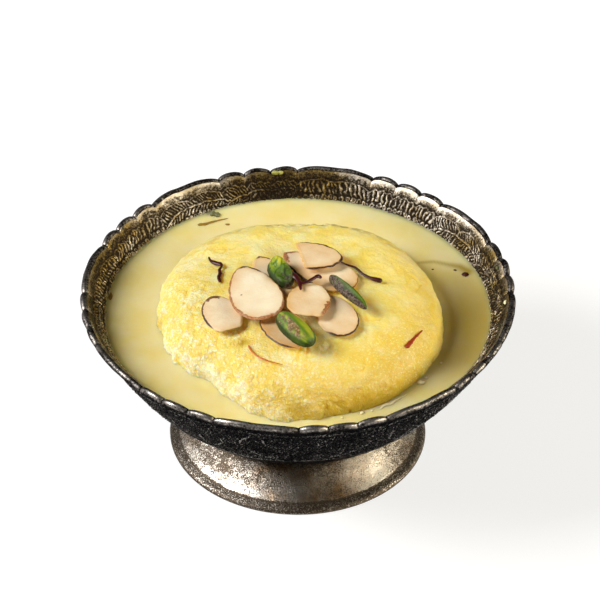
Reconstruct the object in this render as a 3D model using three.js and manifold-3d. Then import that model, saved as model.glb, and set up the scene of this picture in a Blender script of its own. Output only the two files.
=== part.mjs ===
// A rasmalai: one soft chenna patty standing in saffron milk, topped with almond slices and
// pistachio, in a footed silver dessert bowl with a scalloped rim.
// Millimetres, +Z up. The origin is the middle of the foot's base ring, on the table.

import * as THREE from 'three';
import { mergeVertices } from 'three/addons/utils/BufferGeometryUtils.js';
import Module from 'manifold-3d';

const wasm = await Module();
wasm.setup();

const GAP = 0.3; // air kept between two pieces that touch

// The bowl: its outer wall rises from the pole as a power curve.
const BOWL_POLE_Z = 5.6;
const BOWL_WALL_RISE = 36.4;
const BOWL_WALL_RADIUS = 50.7;
const BOWL_CURVE_POWER = 2.7;
const BOWL_WALL_THICKNESS = 2.1;
const OUTER_WALL_RINGS = 7;
const INNER_WALL_RINGS = 7;

// The rolled bead on the rim, and the plain band just inside it.
const BEAD_CENTRE_RADIUS = 50.2;
const BEAD_CENTRE_Z = 41.8;
const BEAD_RADIUS = 0.8;
const BAND_FOOT_Z = 40;

// The rim is cut into groups of one wide bow and three small scallops.
const RIM_GROUPS = 8;
const BOW_DEGREES = 22;
const SCALLOPS_PER_GROUP = 3;
const FIRST_BOW_DEGREES = 23.2;
const BOW_SEGMENTS = 7;
const SCALLOP_SEGMENTS = 3;
const BOW_RISE = 1.25;
const SCALLOP_RISE = 1;
const BOW_DIP = 0.22; // how far the middle of a bow sinks, as a share of its rise
const BOW_DIP_WIDTH = 0.17;
const LOBE_ROUNDNESS = 0.55;
const RIM_FLARE = 0.4; // outward spread for each millimetre of rise
const LOBE_DEPTH = 7; // the lobes fade out this far below the bead

// The spun foot: a hollow flared skirt under the bowl.
const FOOT_RADIUS = 31.3;
const FOOT_RING_WIDTH = 1.5;
const FOOT_NECK_RADIUS = 19.4;
const FOOT_NECK_WALL = 1.2;
const FOOT_SEGMENTS = 64;

// The milk and the patty.
const MILK_LEVEL = 37;
const MILK_SEGMENTS = 64;
const PATTY_CENTRE = [-0.15, -4.2];
const PATTY_HALF_WIDTH = 34.8;
const PATTY_HALF_LENGTH = 37.4;
const PATTY_EQUATOR_Z = 33;
const PATTY_CROWN = 15; // height of the domed top above the equator
const PATTY_DOMING = 0.12; // share of that height lost between the middle and the shoulder
const PATTY_BELLY = 9; // depth of the underside below the equator
const PATTY_SQUARENESS = 8;
const PATTY_SEGMENTS = 48;
const PATTY_RINGS = 7;
const PATTY_RING_POWER = 0.8; // below 1 spreads the rings towards the edge

// Swellings (+) and dents (-) round the patty's outline: share of the radius, bearing, spread.
const PATTY_BUMPS = [
  { share: 0.024, bearing: 150, spread: 18 },
  { share: -0.03, bearing: 170, spread: 24 },
  { share: -0.104, bearing: 92, spread: 20 },
  { share: 0.052, bearing: -25, spread: 18 },
  { share: -0.06, bearing: -46, spread: 25 },
  { share: 0.052, bearing: -56, spread: 9.5 },
  { share: -0.144, bearing: -131, spread: 14 },
  { share: -0.04, bearing: -163, spread: 9 },
];

const SLICE_THICKNESS = 0.9;
const SLICE_POINTS = 22;

// Almond slices. heading turns the narrow end from +X; narrow says how much slimmer that end is;
// a slice with no z lies on the patty; snap cuts off the end beyond that distance, in a direction.
const ALMOND_SLICES = [
  { name: 'almond_slice_1', x: -10.1, y: -10.1, z: 50.1, heading: 106, lean: [0, -5],
    length: 21.8, width: 11.9, narrow: 0.24 },
  { name: 'almond_slice_2', x: -17.5, y: -15.6, heading: 112,
    length: 14.2, width: 8.8, narrow: 0.05, snap: { toward: 174, at: 5.9 } },
  { name: 'almond_slice_3', x: -2.9, y: -21, heading: 123,
    length: 16, width: 10.2, narrow: 0, snap: { toward: 215, at: 6 } },
  { name: 'almond_slice_4', x: 3.3, y: 3.7, z: 50.4, heading: -12, lean: [-3, 0],
    length: 15, width: 11.4, narrow: 0.12, snap: { toward: 204, at: 2.6 } },
  { name: 'almond_slice_5', x: 4.9, y: 0.6, heading: 141,
    length: 21.6, width: 10.6, narrow: 0.36 },
  { name: 'almond_slice_6', x: 2.6, y: -13.5, z: 50.35, heading: 84, lean: [-2, 2],
    length: 14.4, width: 10.4, narrow: 0.05, snap: { toward: 180, at: 6 } },
  { name: 'almond_slice_7', x: 9, y: -16.7, heading: 102,
    length: 14.8, width: 9.6, narrow: 0.12 },
  { name: 'almond_slice_8', x: -6, y: -2, heading: 112,
    length: 17.6, width: 8, narrow: 0.2 },
];

// Pistachio pieces: halves and a sliver, each a rounded kernel cut flat underneath.
const PISTACHIO_PIECES = [
  { name: 'pistachio_half_1', x: -4, y: -2.7, z: 49.7, heading: 108, lean: [0, 0],
    length: 10.6, width: 5.4, height: 3.1 },
  { name: 'pistachio_half_2', x: -0.5, y: -24.2, z: 49.7, heading: 128, lean: [6, 0],
    length: 12.6, width: 5.6, height: 3.2 },
  { name: 'pistachio_sliver', x: 11.6, y: -9.9, z: 49.6, heading: 125, lean: [0, 0],
    length: 15, width: 3.2, height: 2.4 },
];
const PISTACHIO_SEGMENTS = 14;
const PISTACHIO_RINGS = 4;

const SILVER = { color: 0x8f8576, metalness: 1, roughness: 0.35 };
const MILK = { color: 0xe9dc92, metalness: 0, roughness: 0.25 };
const CHENNA = { color: 0xf6dc62, metalness: 0, roughness: 0.5 };
const ALMOND = { color: 0xf0d9b5, metalness: 0, roughness: 0.5 };
const PISTACHIO = { color: 0x6f9a2e, metalness: 0, roughness: 0.45 };

const degrees = THREE.MathUtils.degToRad;

function makeMesh(name, geometry, look) {
  const mesh = new THREE.Mesh(geometry, new THREE.MeshStandardMaterial(look));
  mesh.name = name;
  return mesh;
}

// A lathe turned so that its axis is Z.
function turned(profile, segments) {
  return new THREE.LatheGeometry(profile, segments).rotateX(Math.PI / 2);
}

// Height of the bowl's outer wall at a radius.
function outerWallZ(radius) {
  return BOWL_POLE_Z + BOWL_WALL_RISE * (radius / BOWL_WALL_RADIUS) ** BOWL_CURVE_POWER;
}

// The outer wall moved inward, along its normal, by a distance.
function innerWallPoint(radius, distance) {
  const slope = (BOWL_CURVE_POWER * (outerWallZ(radius) - BOWL_POLE_Z)) / Math.max(radius, 1);
  const inward = new THREE.Vector2(-slope, 1).normalize().multiplyScalar(distance);
  return new THREE.Vector2(Math.max(radius + inward.x, 0), outerWallZ(radius) + inward.y);
}

// Radii at which a wall profile is sampled, from the pole outwards.
function wallRadii(lastRadius, count) {
  return Array.from({ length: count }, (_, i) => lastRadius * (i / (count - 1)) ** 0.7);
}

// Rise of the rim at a bearing in degrees: wide bows with a dip in the middle, small round
// scallops, and a sharp notch between each two.
function rimRise(bearing) {
  const group = 360 / RIM_GROUPS;
  const scallop = (group - BOW_DEGREES) / SCALLOPS_PER_GROUP;
  const along = THREE.MathUtils.euclideanModulo(bearing - FIRST_BOW_DEGREES, group);
  if (along < BOW_DEGREES) {
    const share = along / BOW_DEGREES;
    const dip = 1 - BOW_DIP * Math.exp(-(((share - 0.5) / BOW_DIP_WIDTH) ** 2));
    return BOW_RISE * dip * Math.sin(Math.PI * share) ** LOBE_ROUNDNESS;
  }
  const share = ((along - BOW_DEGREES) / scallop) % 1;
  return SCALLOP_RISE * Math.max(Math.sin(Math.PI * share), 0) ** LOBE_ROUNDNESS;
}

// Bearing of the n-th column of vertices, so that columns fall on the notches.
function rimBearing(column) {
  const perGroup = BOW_SEGMENTS + SCALLOPS_PER_GROUP * SCALLOP_SEGMENTS;
  const group = 360 / RIM_GROUPS;
  const scallop = (group - BOW_DEGREES) / SCALLOPS_PER_GROUP;
  const start = FIRST_BOW_DEGREES + Math.floor(column / perGroup) * group;
  const step = column % perGroup;
  if (step <= BOW_SEGMENTS) {
    return start + (step / BOW_SEGMENTS) * BOW_DEGREES;
  }
  return start + BOW_DEGREES + ((step - BOW_SEGMENTS) / SCALLOP_SEGMENTS) * scallop;
}

// The inner wall, from the pole outwards, at a distance inside the outer wall.
function innerWall(distance) {
  const share = (BAND_FOOT_Z - BOWL_POLE_Z) / BOWL_WALL_RISE;
  const lastRadius = BOWL_WALL_RADIUS * share ** (1 / BOWL_CURVE_POWER);
  return wallRadii(lastRadius, INNER_WALL_RINGS).map((radius) => innerWallPoint(radius, distance));
}

function makeBowl() {
  const profile = [];
  for (const radius of wallRadii(BEAD_CENTRE_RADIUS, OUTER_WALL_RINGS)) {
    profile.push(new THREE.Vector2(radius, outerWallZ(radius)));
  }
  for (const turn of [-30, 30, 90, 150]) {
    profile.push(new THREE.Vector2(
      BEAD_CENTRE_RADIUS + BEAD_RADIUS * Math.cos(degrees(turn)),
      BEAD_CENTRE_Z + BEAD_RADIUS * Math.sin(degrees(turn)),
    ));
  }
  profile.push(...innerWall(BOWL_WALL_THICKNESS).reverse());
  const columns = RIM_GROUPS * (BOW_SEGMENTS + SCALLOPS_PER_GROUP * SCALLOP_SEGMENTS);
  const geometry = turned(profile, columns);
  const position = geometry.getAttribute('position');
  for (let i = 0; i < position.count; i += 1) {
    const column = Math.floor(i / profile.length) % columns;
    const bearing = rimBearing(column);
    const radius = Math.hypot(position.getX(i), position.getY(i));
    const z = position.getZ(i);
    const nearRim = THREE.MathUtils.smoothstep(z, BEAD_CENTRE_Z - LOBE_DEPTH, BEAD_CENTRE_Z);
    const rise = rimRise(bearing) * nearRim;
    const spread = radius + RIM_FLARE * rise;
    position.setXYZ(i, spread * Math.cos(degrees(bearing)), spread * Math.sin(degrees(bearing)), z + rise);
  }
  return makeMesh('bowl', geometry, SILVER);
}

function makeFoot() {
  const neckInside = FOOT_NECK_RADIUS - FOOT_NECK_WALL;
  const outside = [
    [FOOT_RADIUS, 0],
    [FOOT_RADIUS, 0.6],
    [FOOT_RADIUS - 2, 1.6],
    [27, 3.4],
    [24.6, 5.3],
    [22.6, 6.7],
    [20.9, 7.6],
    [FOOT_NECK_RADIUS, outerWallZ(FOOT_NECK_RADIUS) - GAP],
  ];
  const inside = [
    [neckInside, outerWallZ(neckInside) - GAP],
    [20.3, 6.5],
    [22.3, 5.4],
    [24.4, 3.8],
    [27.2, 1.7],
    [FOOT_RADIUS - FOOT_RING_WIDTH, 0],
  ];
  const profile = [...outside, ...inside, outside[0]].map(([r, z]) => new THREE.Vector2(r, z));
  return makeMesh('foot', turned(profile, FOOT_SEGMENTS), SILVER);
}

// The patty's radius at a bearing, as a share of the plain ellipse.
function pattyOutline(bearing) {
  let share = 1;
  for (const bump of PATTY_BUMPS) {
    const away = THREE.MathUtils.euclideanModulo(bearing - bump.bearing + 180, 360) - 180;
    share += bump.share * Math.exp(-0.5 * (away / bump.spread) ** 2);
  }
  return share;
}

// Height of the patty's skin above its equator, as a share of the crown, at a share of the way out.
function crownShare(out) {
  return Math.sqrt(Math.max(1 - out ** PATTY_SQUARENESS, 0)) * (1 - PATTY_DOMING * out ** 2);
}

// A cushion with steep sides and a gently domed top, made as a lathe of shares of its sizes and then
// stretched to its outline. grow makes it larger all round.
function pattyGeometry(grow) {
  const profile = [];
  for (let i = -PATTY_RINGS; i <= PATTY_RINGS; i += 1) {
    const out = Math.sin((Math.PI / 2) * (1 - Math.abs(i) / PATTY_RINGS)) ** PATTY_RING_POWER;
    const under = Math.sqrt(Math.max(1 - out ** PATTY_SQUARENESS, 0));
    profile.push(new THREE.Vector2(Math.abs(i) === PATTY_RINGS ? 0 : out, i < 0 ? -under : crownShare(out)));
  }
  const geometry = turned(profile, PATTY_SEGMENTS);
  const position = geometry.getAttribute('position');
  for (let i = 0; i < position.count; i += 1) {
    const x = position.getX(i);
    const y = position.getY(i);
    const lift = position.getZ(i);
    const outline = pattyOutline(THREE.MathUtils.radToDeg(Math.atan2(y, x)));
    const depth = (lift > 0 ? PATTY_CROWN : PATTY_BELLY) + grow;
    position.setXYZ(
      i,
      PATTY_CENTRE[0] + x * (PATTY_HALF_WIDTH * outline + grow),
      PATTY_CENTRE[1] + y * (PATTY_HALF_LENGTH * outline + grow),
      PATTY_EQUATOR_Z + lift * depth,
    );
  }
  return geometry;
}

// Height of the patty's plain domed top above a point.
function domeZ(x, y) {
  const out = Math.hypot((x - PATTY_CENTRE[0]) / PATTY_HALF_WIDTH, (y - PATTY_CENTRE[1]) / PATTY_HALF_LENGTH);
  return PATTY_EQUATOR_Z + PATTY_CROWN * crownShare(out);
}

// Upward normal of the domed top above a point.
function domeNormal(x, y) {
  const step = 0.5;
  const alongX = (domeZ(x + step, y) - domeZ(x - step, y)) / (2 * step);
  const alongY = (domeZ(x, y + step) - domeZ(x, y - step)) / (2 * step);
  return new THREE.Vector3(-alongX, -alongY, 1).normalize();
}

function toManifold(geometry) {
  const bare = geometry.clone();
  bare.deleteAttribute('normal');
  bare.deleteAttribute('uv');
  const merged = mergeVertices(bare, 1e-4);
  const corners = merged.index.array;
  const whole = [];
  for (let i = 0; i < corners.length; i += 3) {
    const [a, b, c] = [corners[i], corners[i + 1], corners[i + 2]];
    if (a !== b && b !== c && c !== a) {
      whole.push(a, b, c);
    }
  }
  return new wasm.Manifold(new wasm.Mesh({
    numProp: 3,
    vertProperties: merged.getAttribute('position').array,
    triVerts: new Uint32Array(whole),
  }));
}

function fromManifold(solid) {
  const mesh = solid.getMesh();
  const geometry = new THREE.BufferGeometry();
  geometry.setAttribute('position', new THREE.BufferAttribute(new Float32Array(mesh.vertProperties), 3));
  geometry.setIndex(new THREE.BufferAttribute(new Uint32Array(mesh.triVerts), 1));
  geometry.computeVertexNormals();
  return geometry;
}

// Milk fills the bowl to its level, a gap inside the wall, cut round the patty.
function makeMilk() {
  const wall = innerWall(BOWL_WALL_THICKNESS + GAP);
  const below = wall.filter((point) => point.y < MILK_LEVEL);
  const [last, next] = [below.at(-1), wall[below.length]];
  const edge = last.clone().lerp(next, (MILK_LEVEL - last.y) / (next.y - last.y));
  const profile = [...below, edge, new THREE.Vector2(0, MILK_LEVEL)];
  const milk = toManifold(turned(profile, MILK_SEGMENTS)).subtract(toManifold(pattyGeometry(GAP)));
  return makeMesh('milk', fromManifold(milk), MILK);
}

// Outline of an almond slice: an oval that is slimmer towards +X, snapped off straight if asked.
function almondShape(slice) {
  const points = [];
  for (let i = 0; i < SLICE_POINTS; i += 1) {
    const turn = (2 * Math.PI * i) / SLICE_POINTS;
    const point = new THREE.Vector2(
      (slice.length / 2) * Math.cos(turn),
      (slice.width / 2) * Math.sin(turn) * (1 - slice.narrow * Math.cos(turn)),
    );
    if (slice.snap) {
      const bearing = degrees(slice.snap.toward);
      const toward = new THREE.Vector2(Math.cos(bearing), Math.sin(bearing));
      const beyond = point.dot(toward) - slice.snap.at;
      point.addScaledVector(toward, -Math.max(beyond, 0));
    }
    points.push(point);
  }
  return new THREE.Shape(points);
}

function makeAlmondSlice(slice) {
  const depth = SLICE_THICKNESS;
  const geometry = new THREE.ExtrudeGeometry(almondShape(slice), { depth, bevelEnabled: false });
  geometry.translate(0, 0, -depth / 2);
  const mesh = makeMesh(slice.name, geometry, ALMOND);
  const heading = new THREE.Quaternion().setFromAxisAngle(new THREE.Vector3(0, 0, 1), degrees(slice.heading));
  if (slice.z === undefined) {
    const normal = domeNormal(slice.x, slice.y);
    const tilt = new THREE.Quaternion().setFromUnitVectors(new THREE.Vector3(0, 0, 1), normal);
    mesh.quaternion.copy(tilt.multiply(heading));
    mesh.position.set(slice.x, slice.y, domeZ(slice.x, slice.y));
    mesh.position.addScaledVector(normal, GAP + depth / 2);
  } else {
    const lean = new THREE.Euler(degrees(slice.lean[0]), degrees(slice.lean[1]), 0);
    mesh.quaternion.setFromEuler(lean).multiply(heading);
    mesh.position.set(slice.x, slice.y, slice.z);
  }
  return mesh;
}

// Half a kernel: a pointed half-ellipsoid lying on its flat cut face.
function makePistachio(piece) {
  const profile = [new THREE.Vector2(0, 0)];
  for (let i = 0; i <= PISTACHIO_RINGS; i += 1) {
    const turn = (Math.PI / 2) * (i / PISTACHIO_RINGS);
    profile.push(new THREE.Vector2(i === PISTACHIO_RINGS ? 0 : Math.cos(turn), Math.sin(turn)));
  }
  const geometry = turned(profile, PISTACHIO_SEGMENTS);
  geometry.scale(piece.length / 2, piece.width / 2, piece.height);
  const mesh = makeMesh(piece.name, geometry, PISTACHIO);
  const lean = new THREE.Euler(degrees(piece.lean[0]), degrees(piece.lean[1]), 0);
  const heading = new THREE.Quaternion().setFromAxisAngle(new THREE.Vector3(0, 0, 1), degrees(piece.heading));
  mesh.quaternion.setFromEuler(lean).multiply(heading);
  mesh.position.set(piece.x, piece.y, piece.z);
  return mesh;
}

const rasmalai = new THREE.Group();
rasmalai.add(makeBowl());
rasmalai.add(makeFoot());
rasmalai.add(makeMilk());
rasmalai.add(makeMesh('chenna_patty', pattyGeometry(0), CHENNA));
for (const slice of ALMOND_SLICES) {
  rasmalai.add(makeAlmondSlice(slice));
}
for (const piece of PISTACHIO_PIECES) {
  rasmalai.add(makePistachio(piece));
}

export default rasmalai;
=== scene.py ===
# %% [markdown]
# # A rasmalai in a footed silver bowl
# This lesson gives a finished look to a dessert whose plain solids are already packed as a frame: a bowl,
# its foot, the milk, one patty of soft curd cheese, almond slices and pistachios. Every piece below is a
# surface worked out with numpy and stands where its plain solid stands. Lengths are millimetres until the
# moment a mesh is made.

import math

import bpy
import numpy as np
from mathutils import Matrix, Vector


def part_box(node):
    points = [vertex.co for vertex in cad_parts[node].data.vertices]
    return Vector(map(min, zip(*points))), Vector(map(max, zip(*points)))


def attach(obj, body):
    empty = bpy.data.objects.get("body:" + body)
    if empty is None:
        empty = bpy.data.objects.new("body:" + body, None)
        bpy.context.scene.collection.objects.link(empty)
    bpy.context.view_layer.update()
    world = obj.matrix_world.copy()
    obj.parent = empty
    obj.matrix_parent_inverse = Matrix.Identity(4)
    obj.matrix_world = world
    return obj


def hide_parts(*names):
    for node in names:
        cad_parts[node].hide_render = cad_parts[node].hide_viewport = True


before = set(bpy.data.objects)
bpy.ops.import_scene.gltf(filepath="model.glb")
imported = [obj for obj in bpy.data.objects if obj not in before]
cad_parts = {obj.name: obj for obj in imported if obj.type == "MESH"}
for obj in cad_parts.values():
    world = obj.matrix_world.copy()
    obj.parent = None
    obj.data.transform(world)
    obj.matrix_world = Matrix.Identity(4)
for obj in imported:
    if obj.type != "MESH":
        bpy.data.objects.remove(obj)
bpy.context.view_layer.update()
MM = 0.001
BODY = "root"
print("frame nodes:", len(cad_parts))

# %% [markdown]
# ## Camera
# The viewer looks down on the bowl at an angle of about 37 degrees from about 70 cm away through a
# long lens, as for food on a table. The camera comes first, so that each later step can be judged in it.
# A camera looks along its own -Z, which is straight down until it is turned, so it is tipped up by what
# is left of a right angle.

# %% Camera
VIEW_TARGET = np.array([0.507, 0.0, 40.31])
VIEW_DISTANCE = 704.4
VIEW_ELEVATION = math.radians(37.45)
LENS_MM = 178.4

camera_data = bpy.data.cameras.new("camera")
camera_data.lens = LENS_MM
camera_data.sensor_width = 36
camera = bpy.data.objects.new("camera", camera_data)
toward_viewer = np.array([0, -math.cos(VIEW_ELEVATION), math.sin(VIEW_ELEVATION)])
camera.location = (VIEW_TARGET + VIEW_DISTANCE * toward_viewer) * MM
camera.rotation_euler = (math.pi / 2 - VIEW_ELEVATION, 0, 0)
bpy.context.scene.collection.objects.link(camera)
bpy.context.scene.camera = camera
print("camera at", [round(v, 3) for v in camera.location])

# %% [markdown]
# ## From a grid of points to a mesh
# Nearly every piece is a grid: rows of points that each run once round the piece. The grid may close on
# itself like a ring, or end in two poles like a lemon. Making all triangles in whole arrays is quick even
# for a hundred thousand points. The sign of the enclosed volume tells whether the faces point outwards.

# %% Grid to triangles
def grid_triangles(points, wrap_rows):
    """Triangles of a grid (rows, columns, 3) that is closed round its columns. With wrap_rows the last row
    joins the first; otherwise the first and last rows shrink to a pole each. The enclosed volume is a
    sixth of the sum of the triangles' triple products; if it is negative, every triangle is turned."""
    rows, columns = points.shape[:2]
    ids = np.arange(rows * columns).reshape(rows, columns)
    if wrap_rows:
        ids = np.vstack([ids, ids[:1]])
    else:
        ids[0], ids[-1] = ids[0, 0], ids[-1, 0]
    low, high = ids[:-1], ids[1:]
    quads = np.stack([low, np.roll(low, -1, 1), np.roll(high, -1, 1), high], -1).reshape(-1, 4)
    triangles = np.concatenate([quads[:, [0, 1, 2]], quads[:, [0, 2, 3]]])
    whole = (triangles[:, 0] != triangles[:, 1]) & (triangles[:, 1] != triangles[:, 2])
    triangles = triangles[whole & (triangles[:, 0] != triangles[:, 2])]
    corners = points.reshape(-1, 3)[triangles]
    volume = np.einsum("ij,ij->", corners[:, 0], np.cross(corners[:, 1], corners[:, 2])) / 6
    return (triangles if volume > 0 else triangles[:, ::-1]), abs(volume)

# %% [markdown]
# ## From triangles to a piece
# A piece is one mesh with one material. What its material needs to know, such as how high the relief stands
# or where the curd is soaked and where shade is painted on it, goes with its points as named attributes. Each
# piece also says which body it rides on, what it is made of, and which plain solid it stands for.

# %% Triangles to a piece
def make_piece(name, grids, material, replaces=(), wrap_rows=False):
    """Makes one closed mesh of one or more grids in millimetres. Each grid is (points, fields), and fields
    are named (rows, columns) values that are kept as point attributes."""
    places, triangles, values, volume, start = [], [], {}, 0, 0
    for points, fields in grids:
        faces, space = grid_triangles(points, wrap_rows)
        used, faces = np.unique(faces, return_inverse=True)
        places.append(points.reshape(-1, 3)[used])
        triangles.append(faces.reshape(-1, 3) + start)
        for field, field_values in fields.items():
            values.setdefault(field, []).append(np.broadcast_to(field_values, points.shape[:2]).ravel()[used])
        start, volume = start + len(used), volume + space
    places, triangles = np.concatenate(places) * MM, np.concatenate(triangles)
    mesh = bpy.data.meshes.new(name)
    mesh.vertices.add(len(places))
    mesh.vertices.foreach_set("co", places.astype(np.float32).ravel())
    mesh.loops.add(triangles.size)
    mesh.loops.foreach_set("vertex_index", triangles.astype(np.int32).ravel())
    mesh.polygons.add(len(triangles))
    mesh.polygons.foreach_set("loop_start", np.arange(0, triangles.size, 3, dtype=np.int32))
    mesh.polygons.foreach_set("use_smooth", np.ones(len(triangles), dtype=bool))
    mesh.update(calc_edges=True)
    for field, field_values in values.items():
        attribute = mesh.attributes.new(field, "FLOAT", "POINT")
        attribute.data.foreach_set("value", np.concatenate(field_values).astype(np.float32))
    mesh.materials.append(material)
    piece = bpy.data.objects.new(name, mesh)
    bpy.context.scene.collection.objects.link(piece)
    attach(piece, BODY)
    if replaces:
        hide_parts(*replaces)
    print(f"{name}: {len(triangles)} triangles, {volume / 1000:.2f} cm3")
    return piece

# %% [markdown]
# ## Unevenness
# Hand-made silver and curd cheese are uneven at several sizes at once. Noise worked out from whole-number
# hashes is the same on every run and needs no loop over points, and a few layers of it, each with its own
# size in millimetres, make swells with finer dents on them.

# %% Noise
def lattice(cells, seed):
    """A repeatable random number from 0 to 1 for each whole-number cell (..., 3): the three numbers are
    mixed by large primes, and the bits are then folded over each other three times."""
    mixed = (cells @ np.array([73856093, 19349663, 83492791]) + seed * 2654435761) & 0xFFFFFFFF
    mixed = ((mixed ^ (mixed >> 15)) * 2246822519) & 0xFFFFFFFF
    mixed = ((mixed ^ (mixed >> 13)) * 3266489917) & 0xFFFFFFFF
    return (mixed ^ (mixed >> 16)) / 0xFFFFFFFF


def smooth_noise(points, size, seed):
    """Noise from -1 to 1: random numbers on a lattice of that size, blended along each axis by the
    smooth step 3t^2 - 2t^3."""
    scaled = points / size
    low = np.floor(scaled).astype(np.int64)
    part = scaled - low
    part = part * part * (3 - 2 * part)
    total = 0
    for corner in np.ndindex(2, 2, 2):
        weight = np.prod(np.where(corner, part, 1 - part), axis=-1)
        total = total + weight * lattice(low + corner, seed)
    return 2 * total - 1


def layers(points, *noises):
    """The sum of several smooth noises, each given as (amount, size, seed)."""
    return sum(amount * smooth_noise(points, size, seed) for amount, size, seed in noises)

# %% [markdown]
# ## Steps and humps
# Much on this dessert is worn, stained or soaked on one side only, and much light and shade is painted on one
# side too. Two smooth weights say where: a step along any value, and a hump at a bearing, which is counted in
# degrees from +X towards +Y round the bowl.

# %% Steps and humps
def smooth_step(values, low, high):
    """0 below low, 1 above high, and 3t^2 - 2t^3 between."""
    share = np.clip((values - low) / (high - low), 0, 1)
    return share * share * (3 - 2 * share)


def away_from(bearing, middle):
    """How many degrees a bearing lies from a middle one, either way round."""
    return np.abs((bearing - middle + 180) % 360 - 180)


def near_bearing(bearing, middle, spread):
    """A smooth hump, 1 at a middle bearing and falling as exp(-(away / spread)^2)."""
    return np.exp(-(away_from(bearing, middle) / spread) ** 2)


def humps(bearing, places):
    """The sum of smooth humps, each given as (height, middle bearing, spread)."""
    return sum(height * near_bearing(bearing, middle, spread) for height, middle, spread in places)

# %% [markdown]
# ## Grains
# Curd cheese is made of grains pressed together. Points scattered one to each cube of a lattice serve as
# the grains' middles: two grains meet wherever the nearest two points are equally far away.

# %% Grains
def grains(points, size, seed, gap, least):
    """Grains round points scattered one to each cube of that size: 0 where two grains meet, and each
    grain's own random height, from least to 1, where the second nearest point is a gap farther away than
    the nearest."""
    scaled = points / size
    low = np.floor(scaled).astype(np.int64)
    near = np.full(points.shape[:-1], 9.0)
    second = near.copy()
    own = np.zeros_like(near)
    for step in np.ndindex(3, 3, 3):
        cell = low + np.array(step) - 1
        spot = cell + np.stack([lattice(cell, seed + axis) for axis in (1, 2, 3)], -1)
        distance = np.linalg.norm(scaled - spot, axis=-1)
        closer = distance < near
        second = np.where(closer, near, np.minimum(second, distance))
        own = np.where(closer, lattice(cell, seed), own)
        near = np.minimum(near, distance)
    return smooth_step(second - near, 0, gap) * (least + (1 - least) * own)

# %% [markdown]
# ## Materials by nodes
# Each material below is a small network of shader nodes. One function adds a node, sets its options, joins
# its inputs and gives back the output that the next node takes: a value is written into the socket, and
# another node's output is linked to it. Colours are chosen as sRGB hex and turned to the linear values
# that the renderer mixes.

# %% Node helper
def srgb(code):
    """Linear colour of an sRGB hex code: each channel c becomes ((c + 0.055) / 1.055) ** 2.4, or
    c / 12.92 where c is at most 0.04045."""
    channels = [int(code[i:i + 2], 16) / 255 for i in (1, 3, 5)]
    linear = [c / 12.92 if c <= 0.04045 else ((c + 0.055) / 1.055) ** 2.4 for c in channels]
    return (*linear, 1)


def connect(material, node, inputs):
    """Writes a value into each named or numbered socket, or links it where another node's output is given."""
    for socket, value in inputs.items():
        if isinstance(value, bpy.types.NodeSocket):
            material.node_tree.links.new(value, node.inputs[socket])
        else:
            node.inputs[socket].default_value = value


def add_node(material, kind, inputs, out=0, **settings):
    """Adds a shader node of that kind with its settings and its inputs, and gives one of its outputs."""
    node = material.node_tree.nodes.new("ShaderNode" + kind)
    for setting, value in settings.items():
        setattr(node, setting, value)
    connect(material, node, inputs)
    return node.outputs[out]


def new_material(name):
    """A node material with its shader and the place of the shaded point, in metres."""
    material = bpy.data.materials.new(name)
    material.use_nodes = True
    place = add_node(material, "TexCoord", {}, "Object")
    return material, material.node_tree.nodes["Principled BSDF"], place

# %% [markdown]
# ## Silver
# The bowl is pressed from silver-plated white metal and has never been polished in its hollows. Silver
# tarnishes by a film of sulphide that goes from straw yellow through brown to black, thickest in recesses
# and thinnest where hands and cloths rub. So the relief is kept on the mesh as an attribute, and the
# colour runs from black oxide through brown to bare metal along it, broken up by noise. Metal keeps its
# default IOR; tarnish shows as a darker metal with a rougher surface.

# %% Silver material
def make_silver(name, bare, film, oxide, low, high, roughness, pit_size, pit_depth, specks=1.6,
                edge_tint="#ffffff"):
    """Silver whose colour goes from oxide to bare metal as the relief attribute goes from low to high, and
    towards a coloured film with the film attribute; noise breaks both up."""
    material, shader, place = new_material(name)
    relief, stain = [add_node(material, "Attribute", {}, "Fac", attribute_name=field)
                     for field in ("relief", "film")]
    patch, speck, pits = [
        add_node(material, "TexNoise",
                 {"Vector": place, "Scale": 1 / (size * MM), "Detail": detail, "Roughness": harshness})
        for size, detail, harshness in ((5, 5.0, 0.65), (pit_size, 3.0, 0.7), (0.35, 3.0, 0.6))]
    # Bareness follows the relief attribute: rubbed wear, and on some pieces painted highlights, glints and
    # reflections.
    wear_and_glint = add_node(material, "Math", {0: speck, 1: 0.5}, operation="SUBTRACT")
    wear_and_glint = add_node(material, "Math", {0: wear_and_glint, 1: specks, 2: relief}, operation="MULTIPLY_ADD")
    bareness = add_node(material, "MapRange", {"Value": wear_and_glint, "From Min": low, "From Max": high},
                        interpolation_type="SMOOTHSTEP")
    stain = add_node(material, "Math", {0: patch, 1: 1.4, 2: stain}, operation="MULTIPLY_ADD")
    share = add_node(material, "MapRange", {"Value": stain, "From Min": 0.75, "From Max": 1.55},
                     interpolation_type="SMOOTHSTEP")
    metal = add_node(material, "Mix", {0: share, 6: srgb(bare), 7: srgb(film)}, 2, data_type="RGBA")
    colour = add_node(material, "Mix", {0: bareness, 6: srgb(oxide), 7: metal}, 2, data_type="RGBA")
    rough = add_node(material, "MapRange",
                     {"Value": bareness, "To Min": roughness + 0.2, "To Max": roughness})
    bump = add_node(material, "Bump", {"Height": pits, "Distance": pit_depth * MM})
    connect(material, shader, {"Base Color": colour, "Metallic": 1.0, "Roughness": rough,
                               "Specular Tint": srgb(edge_tint), "Normal": bump})
    return material


# The outer wall's near-black oxide and dimmed edge tint are partly tarnish and partly painted shade, standing
# in for a dark room mirrored in the wall.
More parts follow.
